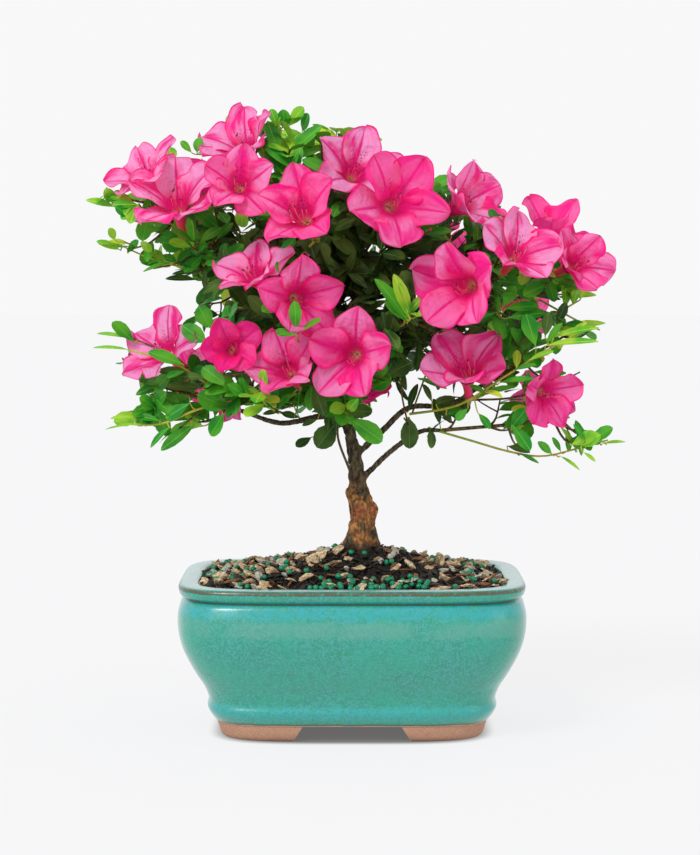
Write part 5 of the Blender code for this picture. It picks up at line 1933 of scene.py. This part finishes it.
# Only twigs in front of this depth carry such a leaf, and a nearer one is taken over a deeper one.
DEEPEST, DEPTH_COUNTS = spot(0, 20, 0).y, 0.15
line_points = [point for path, _ in wood_lines + green_lines for point in path if point.y < DEEPEST]
line_pixels = np.array([pixel(point) for point in line_points])
line_depths = np.array([(point.y - HOME.y) / MM for point in line_points])
lone_random = random.Random(77)
for shade, u, v, tip_u, tip_v, breadth in LONE_LEAVES:
    apart = np.hypot(line_pixels[:, 0] - u, line_pixels[:, 1] - v)
    near = int(np.argmin(apart + DEPTH_COUNTS * line_depths))
    depth = line_depths[near] - 3
    base, tip = seen(u, v, depth), seen(tip_u, tip_v, depth + lone_random.uniform(-7, 2))
    length = (tip - base).length
    slender = breadth / math.hypot(tip_u - u, tip_v - v)
    shape = int(np.argmin([abs(wide - slender) for wide in LEAF_BREADTH]))
    aside = lone_random.uniform(-0.5, 0.5)
    matrix = placement(base, (tip - base).normalized(), Vector((aside, -0.8, 0.6)))
    leaf_deals[shade].append((matrix, (length * slender / LEAF_BREADTH[shape], length, length), shape))
    stalk = smooth_path([line_points[near], line_points[near].lerp(base, 0.6) - UP * MM, base], 5)
    green_lines.append(thick_line(stalk, 0.45, 0.35))
print("leaves dealt out one by one:", len(LONE_LEAVES))


# %% Leaf and twig finishes, and the finished crown
def leaf_finish(name, first, second, rough):
    made = Finish(name, {"Specular IOR Level": 0.22})
    made.mottle(made.noise(16, 3), 0.35, 0.65, first, second)
    grain = made.noise(1.5, 3, 0.6)
    made.feed("Roughness", rough + grain * 0.2)
    made.relief(grain, 0.25)
    return made


LEAF_PAINTS = {
    # two greens of the blade, roughness, the midrib's green, the light that comes through
    # The deep green is painted shade for the crown's inside; the fresh green is partly painted light.
    "deep": ("28481E", "4E6E28", 0.45, "5A8032", 0.08),
    "clear": ("148220", "52A826", 0.36, "64B038", 0.16),
    "fresh": ("3CAA24", "A0CE34", 0.36, "A8D448", 0.22),
    "young": ("94C424", "BEDC38", 0.42, "D4E664", 0.25),
}
all_masses = ["mass_" + mass["name"] for mass in masses]
for shade, (first, second, rough, rib_paint, through) in LEAF_PAINTS.items():
    blade = leaf_finish(f"leaf_{shade}", first, second, rough)
    blade.let_through(paint(rib_paint), through)
    rib = leaf_finish(f"rib_{shade}", rib_paint, rib_paint, rough)
    mesh = deal(f"leaves_{shade}", leaf_deals[shade], leaf_shapes, blade, rib)
    show(f"leaves_{shade}", mesh, None, all_masses if shade == "clear" else ())
forget(leaf_shapes)

twig_bark = Finish("twig_bark", {"Specular IOR Level": 0.3})
twig_noise = twig_bark.noise(2.2, 4, 0.6)
twig_bark.mottle(twig_noise, 0.35, 0.65, "3C2E1C", "7C6634")
twig_bark.feed("Roughness", 0.65 + twig_noise * 0.2)
twig_bark.relief(twig_noise, 0.3)
show_lines("twigs", wood_lines, 6, twig_bark)

green_bark = Finish("green_shoot", {"Specular IOR Level": 0.4})
shoot_noise = green_bark.noise(8, 3)
green_bark.mottle(shoot_noise, 0.3, 0.7, "8CA82E", "BCA83C")
green_bark.feed("Roughness", 0.5 + shoot_noise * 0.2)
green_bark.relief(green_bark.noise(1.5, 3), 0.2)
show_lines("green_shoots", green_lines, 6, green_bark)

# %% [markdown]
# ## Check and finish
# The finished plant has to stay in the CAD's box, apart from a few per cent that leaves and petals may
# stand proud.

# %% Sizes, and the end
PROUD_SHARE, PROUD_MORE = 0.03, 10 * MM
low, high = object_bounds()
for axis, name in enumerate("XYZ"):
    room = PROUD_SHARE * (cad_high[axis] - cad_low[axis]) + PROUD_MORE
    over = max(cad_low[axis] - low[axis], high[axis] - cad_high[axis])
    print(f"{name}: stands {over * 1000:.1f} mm proud, may {room * 1000:.1f} mm")
